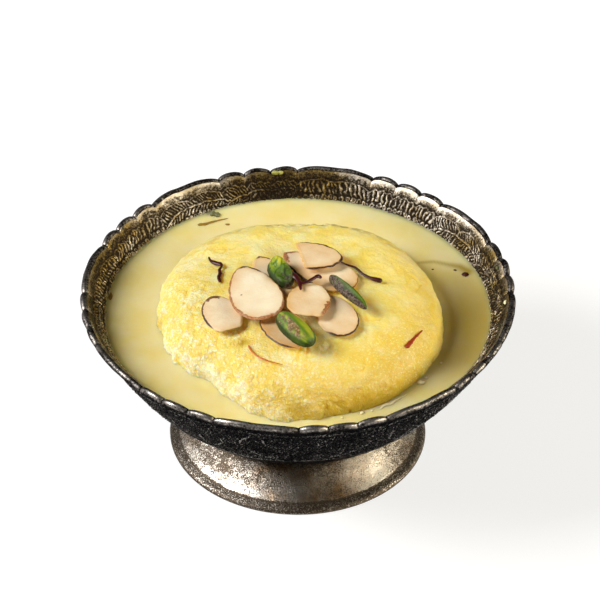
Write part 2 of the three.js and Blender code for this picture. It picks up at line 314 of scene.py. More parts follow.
outer_silver = make_silver("silver_oxidised_and_shaded", bare="#b8b4ae", film="#5c554e", oxide="#141416",
                           low=0.2, high=0.8, roughness=0.28, pit_size=0.4, pit_depth=0.3, specks=2.4,
                           edge_tint="#a4a2a0")
inner_silver = make_silver("silver_tarnished", bare="#d2c6b4", film="#8a7340", oxide="#2a221a",
                           low=0.08, high=0.78, roughness=0.38, pit_size=0.45, pit_depth=0.16, specks=1.5)
rim_silver = make_silver("silver_rubbed", bare="#b4aca4", film="#665d54", oxide="#1d1a19",
                         low=0.15, high=1.0, roughness=0.34, pit_size=0.5, pit_depth=0.06,
                         edge_tint="#a0a0a4")
foot_silver = make_silver("silver_worn", bare="#e6ddd0", film="#a9845a", oxide="#4a4035",
                          low=0.0, high=0.48, roughness=0.3, pit_size=0.3, pit_depth=0.1, specks=2.0)

# %% [markdown]
# ## The bowl's wall
# The wall was pressed over a form, so one smooth curve describes it: its height grows as a power of its
# radius. Everything in the bowl is measured from this curve: the inner wall lies a wall's thickness inside
# it along its normal, and the milk goes a little way past that, so that no gap shows.

# %% Wall curve
WALL_POLE_Z = 5.6
WALL_RISE = 36.4
WALL_RADIUS = 50.7
WALL_POWER = 2.7
WALL_THICKNESS = 2.1
BEAD_CENTRE_RADIUS = 50.2
BEAD_CENTRE_Z = 41.8


def wall_z(radius):
    """Height of the outer wall: the pole's height plus the rise times (radius / wall radius) ** power."""
    return WALL_POLE_Z + WALL_RISE * (radius / WALL_RADIUS) ** WALL_POWER


def wall_normal(radius):
    """Outward normal of the outer wall as (radial, vertical), from the slope of its curve."""
    slope = WALL_POWER * (wall_z(radius) - WALL_POLE_Z) / np.maximum(radius, 1e-6)
    length = np.hypot(slope, 1)
    return slope / length, -1 / length


def wall_inside(radii, distance):
    """(radius, z) of the outer wall's curve moved inwards along its normal by a distance."""
    out_r, out_z = wall_normal(radii)
    return np.maximum(radii - out_r * distance, 0), wall_z(radii) - out_z * distance


def polar(radius, z, angle, middle=(0, 0)):
    """Points at a radius and a height on each angle, in radians, round an upright axis."""
    return np.stack(np.broadcast_arrays(middle[0] + radius * np.cos(angle),
                                        middle[1] + radius * np.sin(angle), z), -1)


print(f"the wall rises to {wall_z(BEAD_CENTRE_RADIUS):.1f} mm at the bead")

# %% [markdown]
# ## The scalloped rim
# The rim is cut into eight groups, each one wide bow with a dip in the middle and three small scallops, and
# ends in a rolled bead. The same rise is given to wall and bead, so that they stay joined.

# %% Rim lobes
RIM_FLARE = 0.4
LOBE_DEPTH = 7.0
GROUP_DEGREES = 45.0
BOW_DEGREES = 22.0
FIRST_BOW = 23.2
SCALLOP_DEGREES = (GROUP_DEGREES - BOW_DEGREES) / 3
BOW_RISE = 1.25
BOW_DIP = 0.22
SCALLOP_RISE = 1.0
LOBE_FLATNESS = 0.55


def rim_rise(bearing):
    """Rise of the rim in millimetres. Over a bow it is a flattened half sine with a dip in the middle;
    over a scallop it is a smaller flattened half sine. Slow noise makes the lobes uneven."""
    along = np.mod(bearing - FIRST_BOW, GROUP_DEGREES)
    bow = np.clip(along / BOW_DEGREES, 0, 1)
    scallop = np.mod((along - BOW_DEGREES) / SCALLOP_DEGREES, 1)
    dip = 1 - BOW_DIP * np.exp(-((bow - 0.5) / 0.17) ** 2)
    on_bow = BOW_RISE * dip * np.clip(np.sin(np.pi * bow), 0, 1) ** LOBE_FLATNESS
    on_scallop = SCALLOP_RISE * np.clip(np.sin(np.pi * scallop), 0, 1) ** LOBE_FLATNESS
    uneven = 1 + 0.14 * smooth_noise(polar(1, 0, np.radians(bearing)), 0.11, 5)
    return np.where(along < BOW_DEGREES, on_bow, on_scallop) * uneven


def ring_points(radius, z, bearing):
    """Points at radius and z (rows, 1) on each bearing, raised and spread with the rim: all of its rise
    at the bead, fading to none LOBE_DEPTH below."""
    rise = rim_rise(bearing)[None, :] * smooth_step(z, BEAD_CENTRE_Z - LOBE_DEPTH, BEAD_CENTRE_Z)
    return polar(radius + RIM_FLARE * rise, z + rise, np.radians(bearing)[None, :])


print("rim rises by", round(float(rim_rise(np.arange(360.0)).max()), 2), "mm at its highest lobe")

# %% [markdown]
# ## Chased ornament
# The wall is chased with leaves: a raised outline, a midrib, and close strokes on either side like the
# teeth of a comb. Each is the same round ridge drawn along another line, so a ridge is a function of the
# distance to its line, and strokes are a cosine of the length along it. Real strokes are about one
# millimetre apart.

# %% Ridges and strokes
STROKE_PITCH = 1.15


def ridge(distance, half_width):
    """A round ridge: 1 on the line, falling as (1 - (distance / half width)^2) to 0 at its edge."""
    return np.clip(1 - (distance / half_width) ** 2, 0, 1)


def strokes(along, pitch):
    """Close raised strokes: a cosine of the length along, narrowed so that grooves are wider than lines."""
    return (0.5 + 0.5 * np.cos(2 * np.pi * along / pitch)) ** 1.8


def curls(length, down, level, pitch):
    """A chain of small open rings at a distance down: a ridge round each ring's centre, and a dot in it."""
    place = np.hypot(np.mod(length, pitch) - pitch / 2, down - level)
    return np.maximum(ridge(place - 0.3 * pitch, 0.22), 0.8 * ridge(place, 0.2))

# %% [markdown]
# ## Ornament inside
# Inside, two kinds of field take turns round the bowl: humps of upright strokes over a row of curls, and a
# long leaf of slanting strokes. Both hang from the rim's lobes, so each is placed by how far along its
# lobe a point lies. Noise bends every stroke, as a hand-held punch does.

# %% Inner ornament
INNER_ARC_RADIUS = 47
ARCH_TOP = 3.1
BLOCK_TOP = 2.7
CURL_ROW = 6.0


def inner_relief(bearing, down, places):
    """Height (0 to 1) of the ornament inside the wall, at a bearing and a distance down from the bead.
    Two humps of upright strokes hang under every other bow and one straight-topped block of strokes under
    every other set of scallops, each with a row of curls below. Between them lie leaves: slanting strokes
    on both sides of a midrib that rises steeply and then runs level."""
    group = np.floor(np.mod(bearing - FIRST_BOW, 360) / GROUP_DEGREES)
    along = np.mod(bearing - FIRST_BOW, GROUP_DEGREES)
    bend = layers(places, (0.55, 1.9, 33), (0.4, 0.8, 34))
    length = np.radians(along) * INNER_ARC_RADIUS
    bow = along < BOW_DEGREES
    half = BOW_DEGREES / 4
    arch_centre = np.where(along < 2 * half, half, 3 * half)
    arch = np.sqrt(np.clip(1 - ((along - arch_centre) / half) ** 2, 0, 1))
    top = np.where(bow, ARCH_TOP - 0.8 * arch, BLOCK_TOP - 0.2 * np.cos(3 * length)) + 0.25 * bend
    lean = 0.35 * np.sin(group * 2.4)
    upright = strokes(length + lean * (down - 4) + bend, STROKE_PITCH) * (1 - smooth_step(down, 4.9, 5.3))
    chain = curls(length + 0.6 * bend, down + 0.5 * bend, CURL_ROW, 1.5)
    upright = np.maximum(upright, 0.9 * chain)
    even = np.mod(group, 2) == 0
    share = np.where(bow, 1 - along / BOW_DEGREES, 1 - (along - BOW_DEGREES) / (GROUP_DEGREES - BOW_DEGREES))
    midrib = 3.9 + 2.6 * np.exp(-share / 0.2) + 0.5 * share ** 2 + 0.3 * bend
    over = strokes(length + 0.8 * down + bend, 0.95)
    under = np.maximum(strokes(length - 0.7 * down + bend, 1.0) * (down < midrib + 1.5),
                       curls(length + 0.5 * bend, down - midrib + 0.4 * bend, 2.2, 1.3))
    barbs = np.where(down < midrib, over, under) * smooth_step(np.abs(down - midrib), 0.25, 0.5)
    leaf = np.maximum(0.95 * ridge(down - midrib, 0.26), 0.8 * barbs)
    body = np.where(bow == even, leaf, upright)
    broken = 0.45 + 0.55 * smooth_step(smooth_noise(places, 0.7, 35), -0.5, 0.3)
    inside = smooth_step(down - top, 0.0, 0.4)
    return np.maximum(0.55 * ridge(down - top, 0.22), body * broken * inside)

# %% [markdown]
# ## Ornament outside
# Outside, the pattern is finer and nearly lost in black: a row of curls, then leaves drawn in single lines
# on a ground of scales. Two fields of strokes multiplied together give the scales.

# %% Outer ornament
OUTER_ARC_RADIUS = 48
LEAF_TOP, LEAF_LENGTH, LEAF_HALF_WIDTH = 4.2, 15.0, 6.4
ORNAMENT_END = 22.0


def outer_relief(bearing, down, places):
    """Height (0 to 1) of the ornament outside the wall: a row of small curls under a plain band, then a
    ground of fine scales crossed by thin curved lines, as leaves, and a raised line where it ends."""
    turn = np.radians(bearing) * OUTER_ARC_RADIUS
    bend = layers(places, (0.5, 3.0, 23), (0.35, 0.9, 24))
    loops = curls(turn + 0.3 * bend, down + 0.3 * bend, 3.0, 1.3)
    along = np.mod(bearing - FIRST_BOW, GROUP_DEGREES / 2) - GROUP_DEGREES / 4
    length = np.radians(along) * (OUTER_ARC_RADIUS + 1 - 0.45 * down)
    share = np.clip((down - LEAF_TOP) / LEAF_LENGTH, 0, 1)
    half_width = LEAF_HALF_WIDTH * np.sin(np.pi * share ** 0.75) ** 0.8 + 0.8 * bend
    across = length - 1.6 * np.sin(2.6 * share) + 0.5 * bend
    drawn = np.maximum(ridge(across, 0.2), ridge(np.abs(across) - half_width, 0.2))
    drawn = drawn * (share > 0) * (share < 1) * smooth_step(smooth_noise(places, 3.5, 25), -0.3, 0.2)
    scales = 0.75 * strokes(turn + 0.5 * down + bend, 0.8) * strokes(down + 0.6 * bend, 0.75)
    foot_line = 0.6 * ridge(down - ORNAMENT_END, 0.4)
    body = np.maximum(scales, 0.9 * drawn)
    body = body * smooth_step(down, 3.7, 4.1) * (1 - smooth_step(down, ORNAMENT_END - 1, ORNAMENT_END - 0.4))
    # The ornament stands out more and shows barer metal at the front left and front right: real relief, with
    # painted glints of the lamps in its colour.
    wear_and_glint = 0.65 + humps(bearing, [(0.5, 222, 36), (0.4, 318, 26)])
    return np.maximum(np.maximum(body, 0.5 * loops), foot_line) * np.clip(wear_and_glint, 0, 1)


print("strokes round the inner wall:", round(2 * math.pi * INNER_ARC_RADIUS / STROKE_PITCH))

# %% [markdown]
# ## Outer wall
# The ornament stands out of the wall, so it is real geometry: each point moves along the wall's normal by
# the relief. Eleven hundred columns put a point every 0.3 mm, enough for strokes 0.8 mm apart. The shell
# closes on a plain surface half way into the wall, where it meets the inner shell.

# %% Outer wall piece
OUTER_COLUMNS = 1100
OUTER_RELIEF = 0.5
HAMMERED = 0.12
PLAIN_RADIUS = 35.5
PLAIN_ROWS, ORNAMENT_ROWS, BACK_ROWS = 9, 78, 10
OUTER_BACK_DEPTH = 1.0

bearings = np.linspace(0, 360, OUTER_COLUMNS, endpoint=False)
skin_radii = np.concatenate([np.linspace(0, PLAIN_RADIUS, PLAIN_ROWS, endpoint=False),
                             np.linspace(PLAIN_RADIUS, BEAD_CENTRE_RADIUS, ORNAMENT_ROWS)])
skin_z = wall_z(skin_radii)
climb = np.concatenate([[0], np.cumsum(np.hypot(np.diff(skin_radii), np.diff(skin_z)))])
down = (climb[-1] - climb)[:, None]
skin = ring_points(skin_radii[:, None], skin_z[:, None], bearings)
relief = outer_relief(bearings[None, :], down, skin) * (0.8 + 0.2 * smooth_noise(skin, 5.0, 21))
normal_r, normal_z = wall_normal(skin_radii[:, None])
normals = polar(normal_r, normal_z, np.radians(bearings))
skin = skin + normals * (OUTER_RELIEF * (relief - 0.5) * smooth_step(down, 0.2, 1.6))[..., None]
skin = skin + normals * (HAMMERED * smooth_noise(skin, 9.0, 22))[..., None]
back_r, back_z = wall_inside(np.linspace(BEAD_CENTRE_RADIUS, 0, BACK_ROWS)[:, None], OUTER_BACK_DEPTH)
back = ring_points(back_r, back_z, bearings)
shown = {"relief": np.concatenate([relief, np.zeros(back.shape[:2])])}
make_piece("bowl_outer_wall", [(np.concatenate([skin, back]), shown)], outer_silver, ["bowl"])

# %% [markdown]
# ## Inner wall
# Inside, a plain band catches the light under the bead, and the ornament starts below it and goes down
# into the milk. Only this much shows, so it gets the fine rows, and the wall under the milk stays plain.

# %% Inner wall form
INNER_COLUMNS = 1600
INNER_RELIEF = 0.42
INNER_BACK_RADIUS, INNER_BACK_DEPTH = 49.8, 1.1
LIP = (49.55, 42.15)
BAND_END_RADIUS = 46.6
FINE_ROWS, UNDER_MILK_ROWS = 44, 12
INNER_ORNAMENT_END = 9

bearings = np.linspace(0, 360, INNER_COLUMNS, endpoint=False)
plain_r, plain_z = wall_inside(np.linspace(BAND_END_RADIUS, 0, UNDER_MILK_ROWS), WALL_THICKNESS)
share = np.linspace(0, 1, FINE_ROWS, endpoint=False)
bulge = 0.25 * np.sin(np.pi * share ** 0.8)
front_r = np.concatenate([LIP[0] + (plain_r[0] - LIP[0]) * share - 0.8 * bulge, plain_r])[:, None]
front_z = np.concatenate([LIP[1] + (plain_z[0] - LIP[1]) * share + 0.6 * bulge, plain_z])[:, None]
steps = np.hypot(np.diff(front_r, axis=0), np.diff(front_z, axis=0))
down = np.concatenate([[[0]], np.cumsum(steps, axis=0)])
front = ring_points(front_r, front_z, bearings)
relief = inner_relief(bearings[None, :], down, front) * (down < INNER_ORNAMENT_END)
relief = relief * (0.85 + 0.15 * smooth_noise(front, 4.0, 31))
steep_r, steep_z = wall_normal(np.clip(front_r, 30, 50) - 2)
normals = -polar(steep_r, steep_z, np.radians(bearings))
in_band = smooth_step(down, 1.6, 2.6)
front = front + normals * (INNER_RELIEF * (relief - 0.4) * in_band)[..., None]
fine_grain = smooth_noise(front, 0.55, 37) * smooth_step(down, 0.9, 1.8)
grainy = (0.05 * smooth_noise(front, 1.3, 32) + 0.06 * fine_grain) * smooth_step(down, 0.2, 1)
front = front + normals * grainy[..., None]
back_r, back_z = wall_inside(np.linspace(0, INNER_BACK_RADIUS, BACK_ROWS)[:, None], INNER_BACK_DEPTH)
back = ring_points(back_r, back_z, bearings)
# The grid runs from the inner pole up to the lip and down the hidden side.
inner_wall = np.concatenate([front[::-1], back[::-1]])
print(f"the ornament inside starts {float(down[in_band > 0][0]):.1f} mm below the lip")

# %% [markdown]
# ## The inner wall's finish
# The plain band is bright where it was rubbed, with painted highlights in crescents just under the bead at a
# few bearings, and golden where milk fat and tarnish have left a film.
# Behind the patty, dried milk fills the ornament, so the relief loses most of its brightness there.

# %% Inner wall piece
PAINTED_HIGHLIGHT_PLACES = [(0.42, 55, 22), (0.42, 124, 17), (0.25, 10, 30), (0.12, 165, 25)]
GOLDEN_PLACES = [(0.85, 92, 24), (0.75, 165, 32), (0.65, 12, 32)]

# The band's bareness: rubbed all round, with painted highlights at these bearings, crisp just under the bead.
rubbed_and_highlight = 0.42 + humps(bearings, PAINTED_HIGHLIGHT_PLACES)
plain_band = rubbed_and_highlight * (1 - 0.6 * smooth_step(down, 0.3, 1.4)) + 0.16 * smooth_noise(front, 0.8, 38)
plain_band = plain_band * (1 - in_band)
residue = near_bearing(bearings, 97, 7.5) * smooth_step(down, 3.0, 4.2)
relief = np.maximum(relief * (1 - 0.75 * residue), plain_band)
golden = humps(bearings, GOLDEN_PLACES) * (1 - 0.35 * smooth_step(down, 2.6, 4.4))
golden = golden + 0.3 * smooth_noise(front, 3.0, 36) + 0.14 * smooth_step(down, 0.6, 1.4)
unseen = np.zeros(back.shape[:2])
shown = {"relief": np.concatenate([relief[::-1], unseen]), "film": np.concatenate([golden[::-1], unseen])}
make_piece("bowl_inner_wall", [(inner_wall, shown)], inner_silver, ["bowl"])

# %% [markdown]
# ## Rolled bead
# The edge is rolled over into a bead that climbs over each lobe and drops into a notch between them. A
# circle carried round the rim makes it; it closes both ways, like a ring.

# %% Bead piece
BEAD_RADIUS = 0.82
BEAD_COLUMNS = 1600
BEAD_ROWS = 18

bearings = np.linspace(0, 360, BEAD_COLUMNS, endpoint=False)
turn = np.linspace(0, 2 * np.pi, BEAD_ROWS, endpoint=False)[:, None]
rise = rim_rise(bearings)[None, :]
thick = BEAD_RADIUS * (0.86 + 0.14 * rise)
bead_r = BEAD_CENTRE_RADIUS + RIM_FLARE * rise + thick * np.cos(turn)
bead_z = BEAD_CENTRE_Z + rise + thick * np.sin(turn)
bead = polar(bead_r, bead_z, np.radians(bearings))
bead = bead * (1 + 0.0016 * smooth_noise(bead, 2.2, 41)[..., None] * np.array([1, 1, 0]))
rubbed_and_glints = 0.14 + 0.34 * np.cos(turn - 1.3) + 0.3 * smooth_noise(bead, 1.8, 42)
# Painted sheen along the front of the bead, and painted glints at the low ends of the lobes on the left.
rubbed_and_glints = rubbed_and_glints + 0.22 * near_bearing(bearings, 270, 50)
rubbed_and_glints = rubbed_and_glints + 0.6 * near_bearing(bearings, 168, 30) * ridge(rise - 0.35, 0.2)
rubbed_and_glints = rubbed_and_glints * smooth_step(rise, -0.1, 0.5)
make_piece("bowl_rim_bead", [(bead, {"relief": rubbed_and_glints})], rim_silver, ["bowl"], wrap_rows=True)

# %% [markdown]
# ## Foot
# The foot was spun on a lathe from thinner sheet and soldered under the bowl, and it has shallow dents. A
# profile turned round the axis makes it. The profile's corners are rounded by sampling it finely and
# averaging neighbours.

# %% Foot form
FOOT_COLUMNS = 540
FOOT_STEPS = 110
FOOT_PROFILE = np.array([(31.3, 0.0), (31.35, 0.7), (30.7, 1.2), (29.4, 1.75), (29.1, 2.0), (27.0, 3.45),
                         (24.6, 5.3), (22.6, 6.75), (20.9, 7.7), (19.3, 8.8), (18.2, 8.7), (20.3, 6.5),
                         (22.3, 5.4), (24.4, 3.8), (27.2, 1.7), (29.8, 0.0)])


def even_profile(corners, steps, smoothing):
    """A closed profile sampled evenly by length; each pass of smoothing replaces a point by the average
    of itself and its two neighbours."""
    closed = np.vstack([corners, corners[:1]])
    length = np.concatenate([[0], np.cumsum(np.linalg.norm(np.diff(closed, axis=0), axis=1))])
    at = np.linspace(0, length[-1], steps, endpoint=False)
    even = np.stack([np.interp(at, length, closed[:, axis]) for axis in (0, 1)], -1)
    for _ in range(smoothing):
        even = (even + np.roll(even, 1, 0) + np.roll(even, -1, 0)) / 3
    return even


foot_profile = even_profile(FOOT_PROFILE, FOOT_STEPS, 2)
angle = np.linspace(0, 2 * np.pi, FOOT_COLUMNS, endpoint=False)[None, :]
foot = polar(foot_profile[:, :1], foot_profile[:, 1:], angle)
dents = layers(foot, (0.16, 8.0, 51), (0.05, 2.6, 52)) * smooth_step(foot[..., 2], 0.0, 0.8)
foot = foot * (1 + dents[..., None] / 30 * np.array([1, 1, 0]))
foot[..., 2] = np.maximum(foot[..., 2] + 0.6 * dents, 0)
print(f"foot dents are up to {abs(dents).max():.2f} mm deep")

# %% [markdown]
# ## The foot's finish
# Its skirt is polished by handling, and soft patches brighter or darker than the rest are painted reflections
# of the room; the upper skirt on the front left is painted darker, a painted shade over the lamp's highlight.
# The neck under the bowl and the step above the base ring are dark with tarnish, and the ring itself is
# darker, most of all at its outer edge. A warm patch on the film at the front is a painted reflection.

# %% Foot piece
PAINTED_REFLECTION_PATCHES = [(-0.05, 265, 30), (0.2, 311, 13), (-0.14, 335, 12), (-0.14, 284, 9), (0.05, 240, 12),
                    (0.2, 272, 22)]
RING_STEP_RADIUS = 29.2

facing, high, out_r = np.degrees(angle), foot[..., 2], np.hypot(foot[..., 0], foot[..., 1])
polish_and_painted_reflection = 0.27 + layers(foot, (0.06, 4.0, 53), (0.08, 1.5, 54), (0.16, 0.6, 56))
# Painted reflections: soft patches brighter or darker round the skirt; darker towards the neck with tarnish.
polish_and_painted_reflection = polish_and_painted_reflection + humps(facing, PAINTED_REFLECTION_PATCHES) - 0.3 * smooth_step(high, 6.6, 7.8)
# Painted shade: darker on the upper skirt at the front left, over the lamp's highlight.
polish_and_painted_reflection = polish_and_painted_reflection - 0.3 * near_bearing(facing, 224, 30) * smooth_step(high, 2.6, 4.2)
on_ring, on_edge = smooth_step(out_r, 28.9, 29.4), smooth_step(out_r, 30.6, 31.2)
polish_and_painted_reflection = polish_and_painted_reflection * (1 - on_ring) + (0.04 - 0.1 * on_edge + 0.12 * smooth_noise(foot, 0.6, 57)) * on_ring
polish_and_painted_reflection = polish_and_painted_reflection - 0.25 * ridge(out_r - RING_STEP_RADIUS, 0.35)
# The film is tarnish, with a painted warm reflection at the front.
film_and_warm_reflection = 0.3 + 0.35 * smooth_noise(foot, 7.0, 55) + 0.5 * near_bearing(facing, 287, 12) - 0.2 * on_ring
shown = {"relief": polish_and_painted_reflection, "film": film_and_warm_reflection}
make_piece("foot_skirt", [(foot, shown)], foot_silver, ["foot"], wrap_rows=True)

# %% [markdown]
# ## Reading a plain solid
# A plain solid's own vertices say where a soft or thin piece lies. For the patty, its outline is the
# farthest vertex at each bearing. For a slice or a nut, the directions of most and least spread are its
# length and its thickness: they are the eigenvectors of the vertices' covariance.

# %% Read plain solids
NEARBY_ANGLE = 0.12
OUTERMOST_SHARE = 0.985


def node_points(node):
    """A node's vertices in millimetres, each place once."""
    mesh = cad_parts[node].data
    places = np.empty(len(mesh.vertices) * 3, np.float32)
    mesh.vertices.foreach_get("co", places)
    return np.unique(np.round(places.reshape(-1, 3).astype(float) / MM, 4), axis=0)


def reach_by_bearing(offsets, bins):
    """The outline of points round their centre: the reach at evenly spaced angles, from the points that
    lie farthest out among those nearby in angle, joined by straight lines."""
    angle = np.arctan2(offsets[:, 1], offsets[:, 0])
    reach = np.hypot(offsets[:, 0], offsets[:, 1])
    near = np.abs(np.angle(np.exp(1j * (angle[:, None] - angle[None, :])))) < NEARBY_ANGLE
    outermost = reach > OUTERMOST_SHARE * np.where(near, reach[None, :], 0).max(1)
    order = np.argsort(angle[outermost])
    angle, reach = angle[outermost][order], reach[outermost][order]
    wanted = np.linspace(-np.pi, np.pi, bins, endpoint=False)
    return np.interp(wanted, angle, reach, period=2 * np.pi)


def lying_frame(points):
    """(centre, axes): the middle of the points' box in their own directions, and the directions along
    (pointing away from the viewer), across and up as rows."""
    centre = points.mean(0)
    spread = np.linalg.eigh(np.cov((points - centre).T))[1].T[::-1]
    along = spread[0] * (1 if spread[0][1] >= 0 else -1)
    up = spread[2] * (1 if spread[2][2] >= 0 else -1)
    axes = np.stack([along, np.cross(up, along), up])
    local = (points - centre) @ axes.T
    return centre + (local.max(0) + local.min(0)) / 2 @ axes, axes

# %% [markdown]
# ## The patty's outline and dome
# The patty slumped as it was laid in the bowl, so its outline is uneven, and it is read from the plain
# solid. It is made a little fuller, because the curd's skin dips in more than it stands out. The outline,
# a steep side and a gentle dome are enough to give the height of the curd anywhere, which the strands of
# saffron on it need too.

# %% Patty outline
PATTY_CENTRE = np.array([-0.15, -4.2])
PATTY_SQUARENESS = 8
PATTY_DOMING = 0.12
PATTY_EQUATOR_Z = 33.0
OUTLINE_BINS = 720
SKIN_ALLOWANCE = 0.35
FULLER_PLACES = [(0.9, -110, 22), (0.4, -33, 14)]
MILK_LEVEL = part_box("milk")[1].z / MM

patty_points = node_points("chenna_patty")
PATTY_BELLY_Z, PATTY_CROWN_Z = patty_points[:, 2].min(), patty_points[:, 2].max()
outline_angle = np.linspace(-np.pi, np.pi, OUTLINE_BINS, endpoint=False)
patty_outline = reach_by_bearing(patty_points[:, :2] - PATTY_CENTRE, OUTLINE_BINS) + SKIN_ALLOWANCE
patty_outline = patty_outline + humps(np.degrees(outline_angle), FULLER_PLACES)
print(f"patty reach {patty_outline.min():.1f} to {patty_outline.max():.1f} mm, milk level {MILK_LEVEL:.1f}")


def patty_reach(angle):
    """The patty's reach at its widest, by angle round its centre."""
    return np.interp(angle, outline_angle, patty_outline, period=2 * np.pi)


def side_share(share):
    """The steep side: sqrt(1 - share^8) at a share of the reach from the centre."""
    return np.sqrt(np.clip(1 - share ** PATTY_SQUARENESS, 0, 1))


def crown_z(share):
    """Height of the crown at a share of the reach: the steep side under a gentle dome 1 - 0.12 share^2."""
    dome = side_share(share) * (1 - PATTY_DOMING * share ** 2)
    return PATTY_EQUATOR_Z + (PATTY_CROWN_Z - PATTY_EQUATOR_Z) * dome


def on_dome(points, lift):
    """Points (x, y) put on the patty's plain dome and lifted."""
    away_x, away_y = (np.asarray(points, float) - PATTY_CENTRE).T
    share = np.hypot(away_x, away_y) / patty_reach(np.arctan2(away_y, away_x))
    return np.column_stack([points, crown_z(share) + lift])

# %% [markdown]
# ## Chenna
# Chenna is fresh curd cheese, kneaded by hand and boiled in syrup until it swells. It is wet and a little
# translucent. Its hollows are deeper yellow, partly from milk held there and partly as painted shade, and its
# crests are whiter, partly dried curd and partly painted highlight, so both are kept on the mesh as
# attributes, and the colours are laid over one another: curd, then a deeper yellow that is soaked milk and
# painted shade, a painted shadow along the far edge, white crests, and painted glints of wet grains where the
# light falls low.

# %% Chenna material
def make_chenna():
    """Boiled curd cheese soaked in saffron milk: wet, slightly translucent, whiter on its grains, partly as
    painted highlight. Where it is rough, fine cells show in a net of deeper yellow, partly painted shade; its
    deeper yellow is soaked milk and painted shade, and its glints are painted."""
    material, shader, place = new_material("chenna_curd_wet")
    rough, hollow, crest, soaked_and_shade, edge_shade_and_stain, wet_painted_glint = [
        add_node(material, "Attribute", {}, "Fac", attribute_name=field)
        for field in ("rough", "hollow", "crest", "soaked_and_shade", "edge_shade_and_stain", "wet_painted_glint")]
    patch, fine, sparkle = [
        add_node(material, "TexNoise",
                 {"Vector": place, "Scale": 1 / (size * MM), "Detail": detail, "Roughness": harshness})
        for size, detail, harshness in ((3, 5.0, 0.65), (0.7, 4.0, 0.65), (0.45, 1.0, 0.5))]
    sway = add_node(material, "TexNoise",
                    {"Vector": place, "Scale": 1 / (1.1 * MM), "Detail": 2.0, "Roughness": 0.5}, 1)
    swayed = add_node(material, "VectorMath", {0: sway, 1: (1.6 * MM,) * 3, 2: place},
                      operation="MULTIPLY_ADD")
    cell = add_node(material, "TexVoronoi", {"Vector": swayed, "Scale": 1 / (0.9 * MM)},
                    feature="DISTANCE_TO_EDGE")
    inside = add_node(material, "MapRange", {"Value": cell, "From Min": 0.0, "From Max": 0.3},
                      interpolation_type="SMOOTHSTEP")
    between = add_node(material, "Math", {0: 1.0, 1: inside}, operation="SUBTRACT")
    net = add_node(material, "Math", {0: between, 1: rough}, operation="MULTIPLY")
    depth = add_node(material, "Math", {0: patch, 1: 0.65, 2: hollow}, operation="MULTIPLY_ADD")
    depth = add_node(material, "Math", {0: net, 1: 0.4, 2: depth}, operation="MULTIPLY_ADD")
    share = add_node(material, "MapRange", {"Value": depth, "From Min": 0.35, "From Max": 1.1},
                     interpolation_type="SMOOTHSTEP")
    lit = add_node(material, "Math", {0: rough, 1: inside}, operation="MULTIPLY")
    white = add_node(material, "Math", {0: lit, 1: 0.3, 2: crest}, operation="MULTIPLY_ADD")
    white = add_node(material, "Math", {0: net, 1: -0.35, 2: white}, operation="MULTIPLY_ADD")
    stipple = add_node(material, "MapRange", {"Value": fine, "From Min": 0.35, "From Max": 0.65,
                                              "To Min": 0.2, "To Max": 1.4})
    # White fades where the curd is soaked and where shade is painted on it.
    dry = add_node(material, "Math", {0: soaked_and_shade, 1: -0.85, 2: 1.0}, operation="MULTIPLY_ADD")
    for factor in (stipple, dry):
        white = add_node(material, "Math", {0: white, 1: factor}, operation="MULTIPLY", use_clamp=True)
    glint = add_node(material, "MapRange", {"Value": sparkle, "From Min": 0.57, "From Max": 0.7})
    glint = add_node(material, "Math", {0: glint, 1: wet_painted_glint}, operation="MULTIPLY", use_clamp=True)
    colour = add_node(material, "Mix", {0: share, 6: srgb("#fcebaa"), 7: srgb("#f8da66")}, 2,
                      data_type="RGBA")
    # Layers: soaked milk with painted shade, a painted shadow along the far edge, crests partly painted
    # highlight, painted glints.
    for amount, code in ((soaked_and_shade, "#e4bf2e"), (edge_shade_and_stain, "#8f7a30"), (white, "#fff6dc"), (glint, "#fcec9c")):
        colour = add_node(material, "Mix", {0: amount, 6: colour, 7: srgb(code)}, 2, data_type="RGBA")
    height = add_node(material, "Math", {0: net, 1: -0.6, 2: fine}, operation="MULTIPLY_ADD")
    bump = add_node(material, "Bump", {"Height": height, "Distance": 0.22 * MM})
    connect(material, shader, {"Base Color": colour, "Normal": bump, "Roughness": 0.4, "IOR": 1.4,
                               "Subsurface Weight": 0.8, "Subsurface Scale": 1.0,
                               "Subsurface Radius": (3.2 * MM, 2.2 * MM, 0.7 * MM),
                               "Coat Weight": 0.12, "Coat Roughness": 0.2})
    return material


chenna = make_chenna()

# %% [markdown]
# ## Patty
# The patty is turned out of rings: from the crown down its dome to the equator, and back under itself to a
# pole at the belly. The directions in which its skin faces come from the grid's own neighbours.

# %% Patty form
PATTY_COLUMNS = 640
PATTY_TOP_ROWS = 132
PATTY_UNDER_ROWS = 18

angle = np.linspace(-np.pi, np.pi, PATTY_COLUMNS, endpoint=False)[None, :]
top_share = np.sin(np.linspace(0, np.pi / 2, PATTY_TOP_ROWS))[:, None]
under_share = np.sin(np.linspace(np.pi / 2, 0, PATTY_UNDER_ROWS + 1))[1:, None]
under_z = PATTY_EQUATOR_Z - (PATTY_EQUATOR_Z - PATTY_BELLY_Z) * side_share(under_share)
share, profile_z = np.concatenate([top_share, under_share]), np.concatenate([crown_z(top_share), under_z])
patty = polar(share * patty_reach(angle), profile_z, angle, PATTY_CENTRE)
ahead = np.roll(patty, -1, 1) - np.roll(patty, 1, 1)
outward = np.cross(ahead, np.gradient(patty, axis=0))
outward = -outward / np.maximum(np.linalg.norm(outward, axis=-1, keepdims=True), 1e-9)
outward[:2], outward[-2:] = (0, 0, 1), (0, 0, -1)
print("patty grid:", patty.shape[0], "rows of", patty.shape[1])

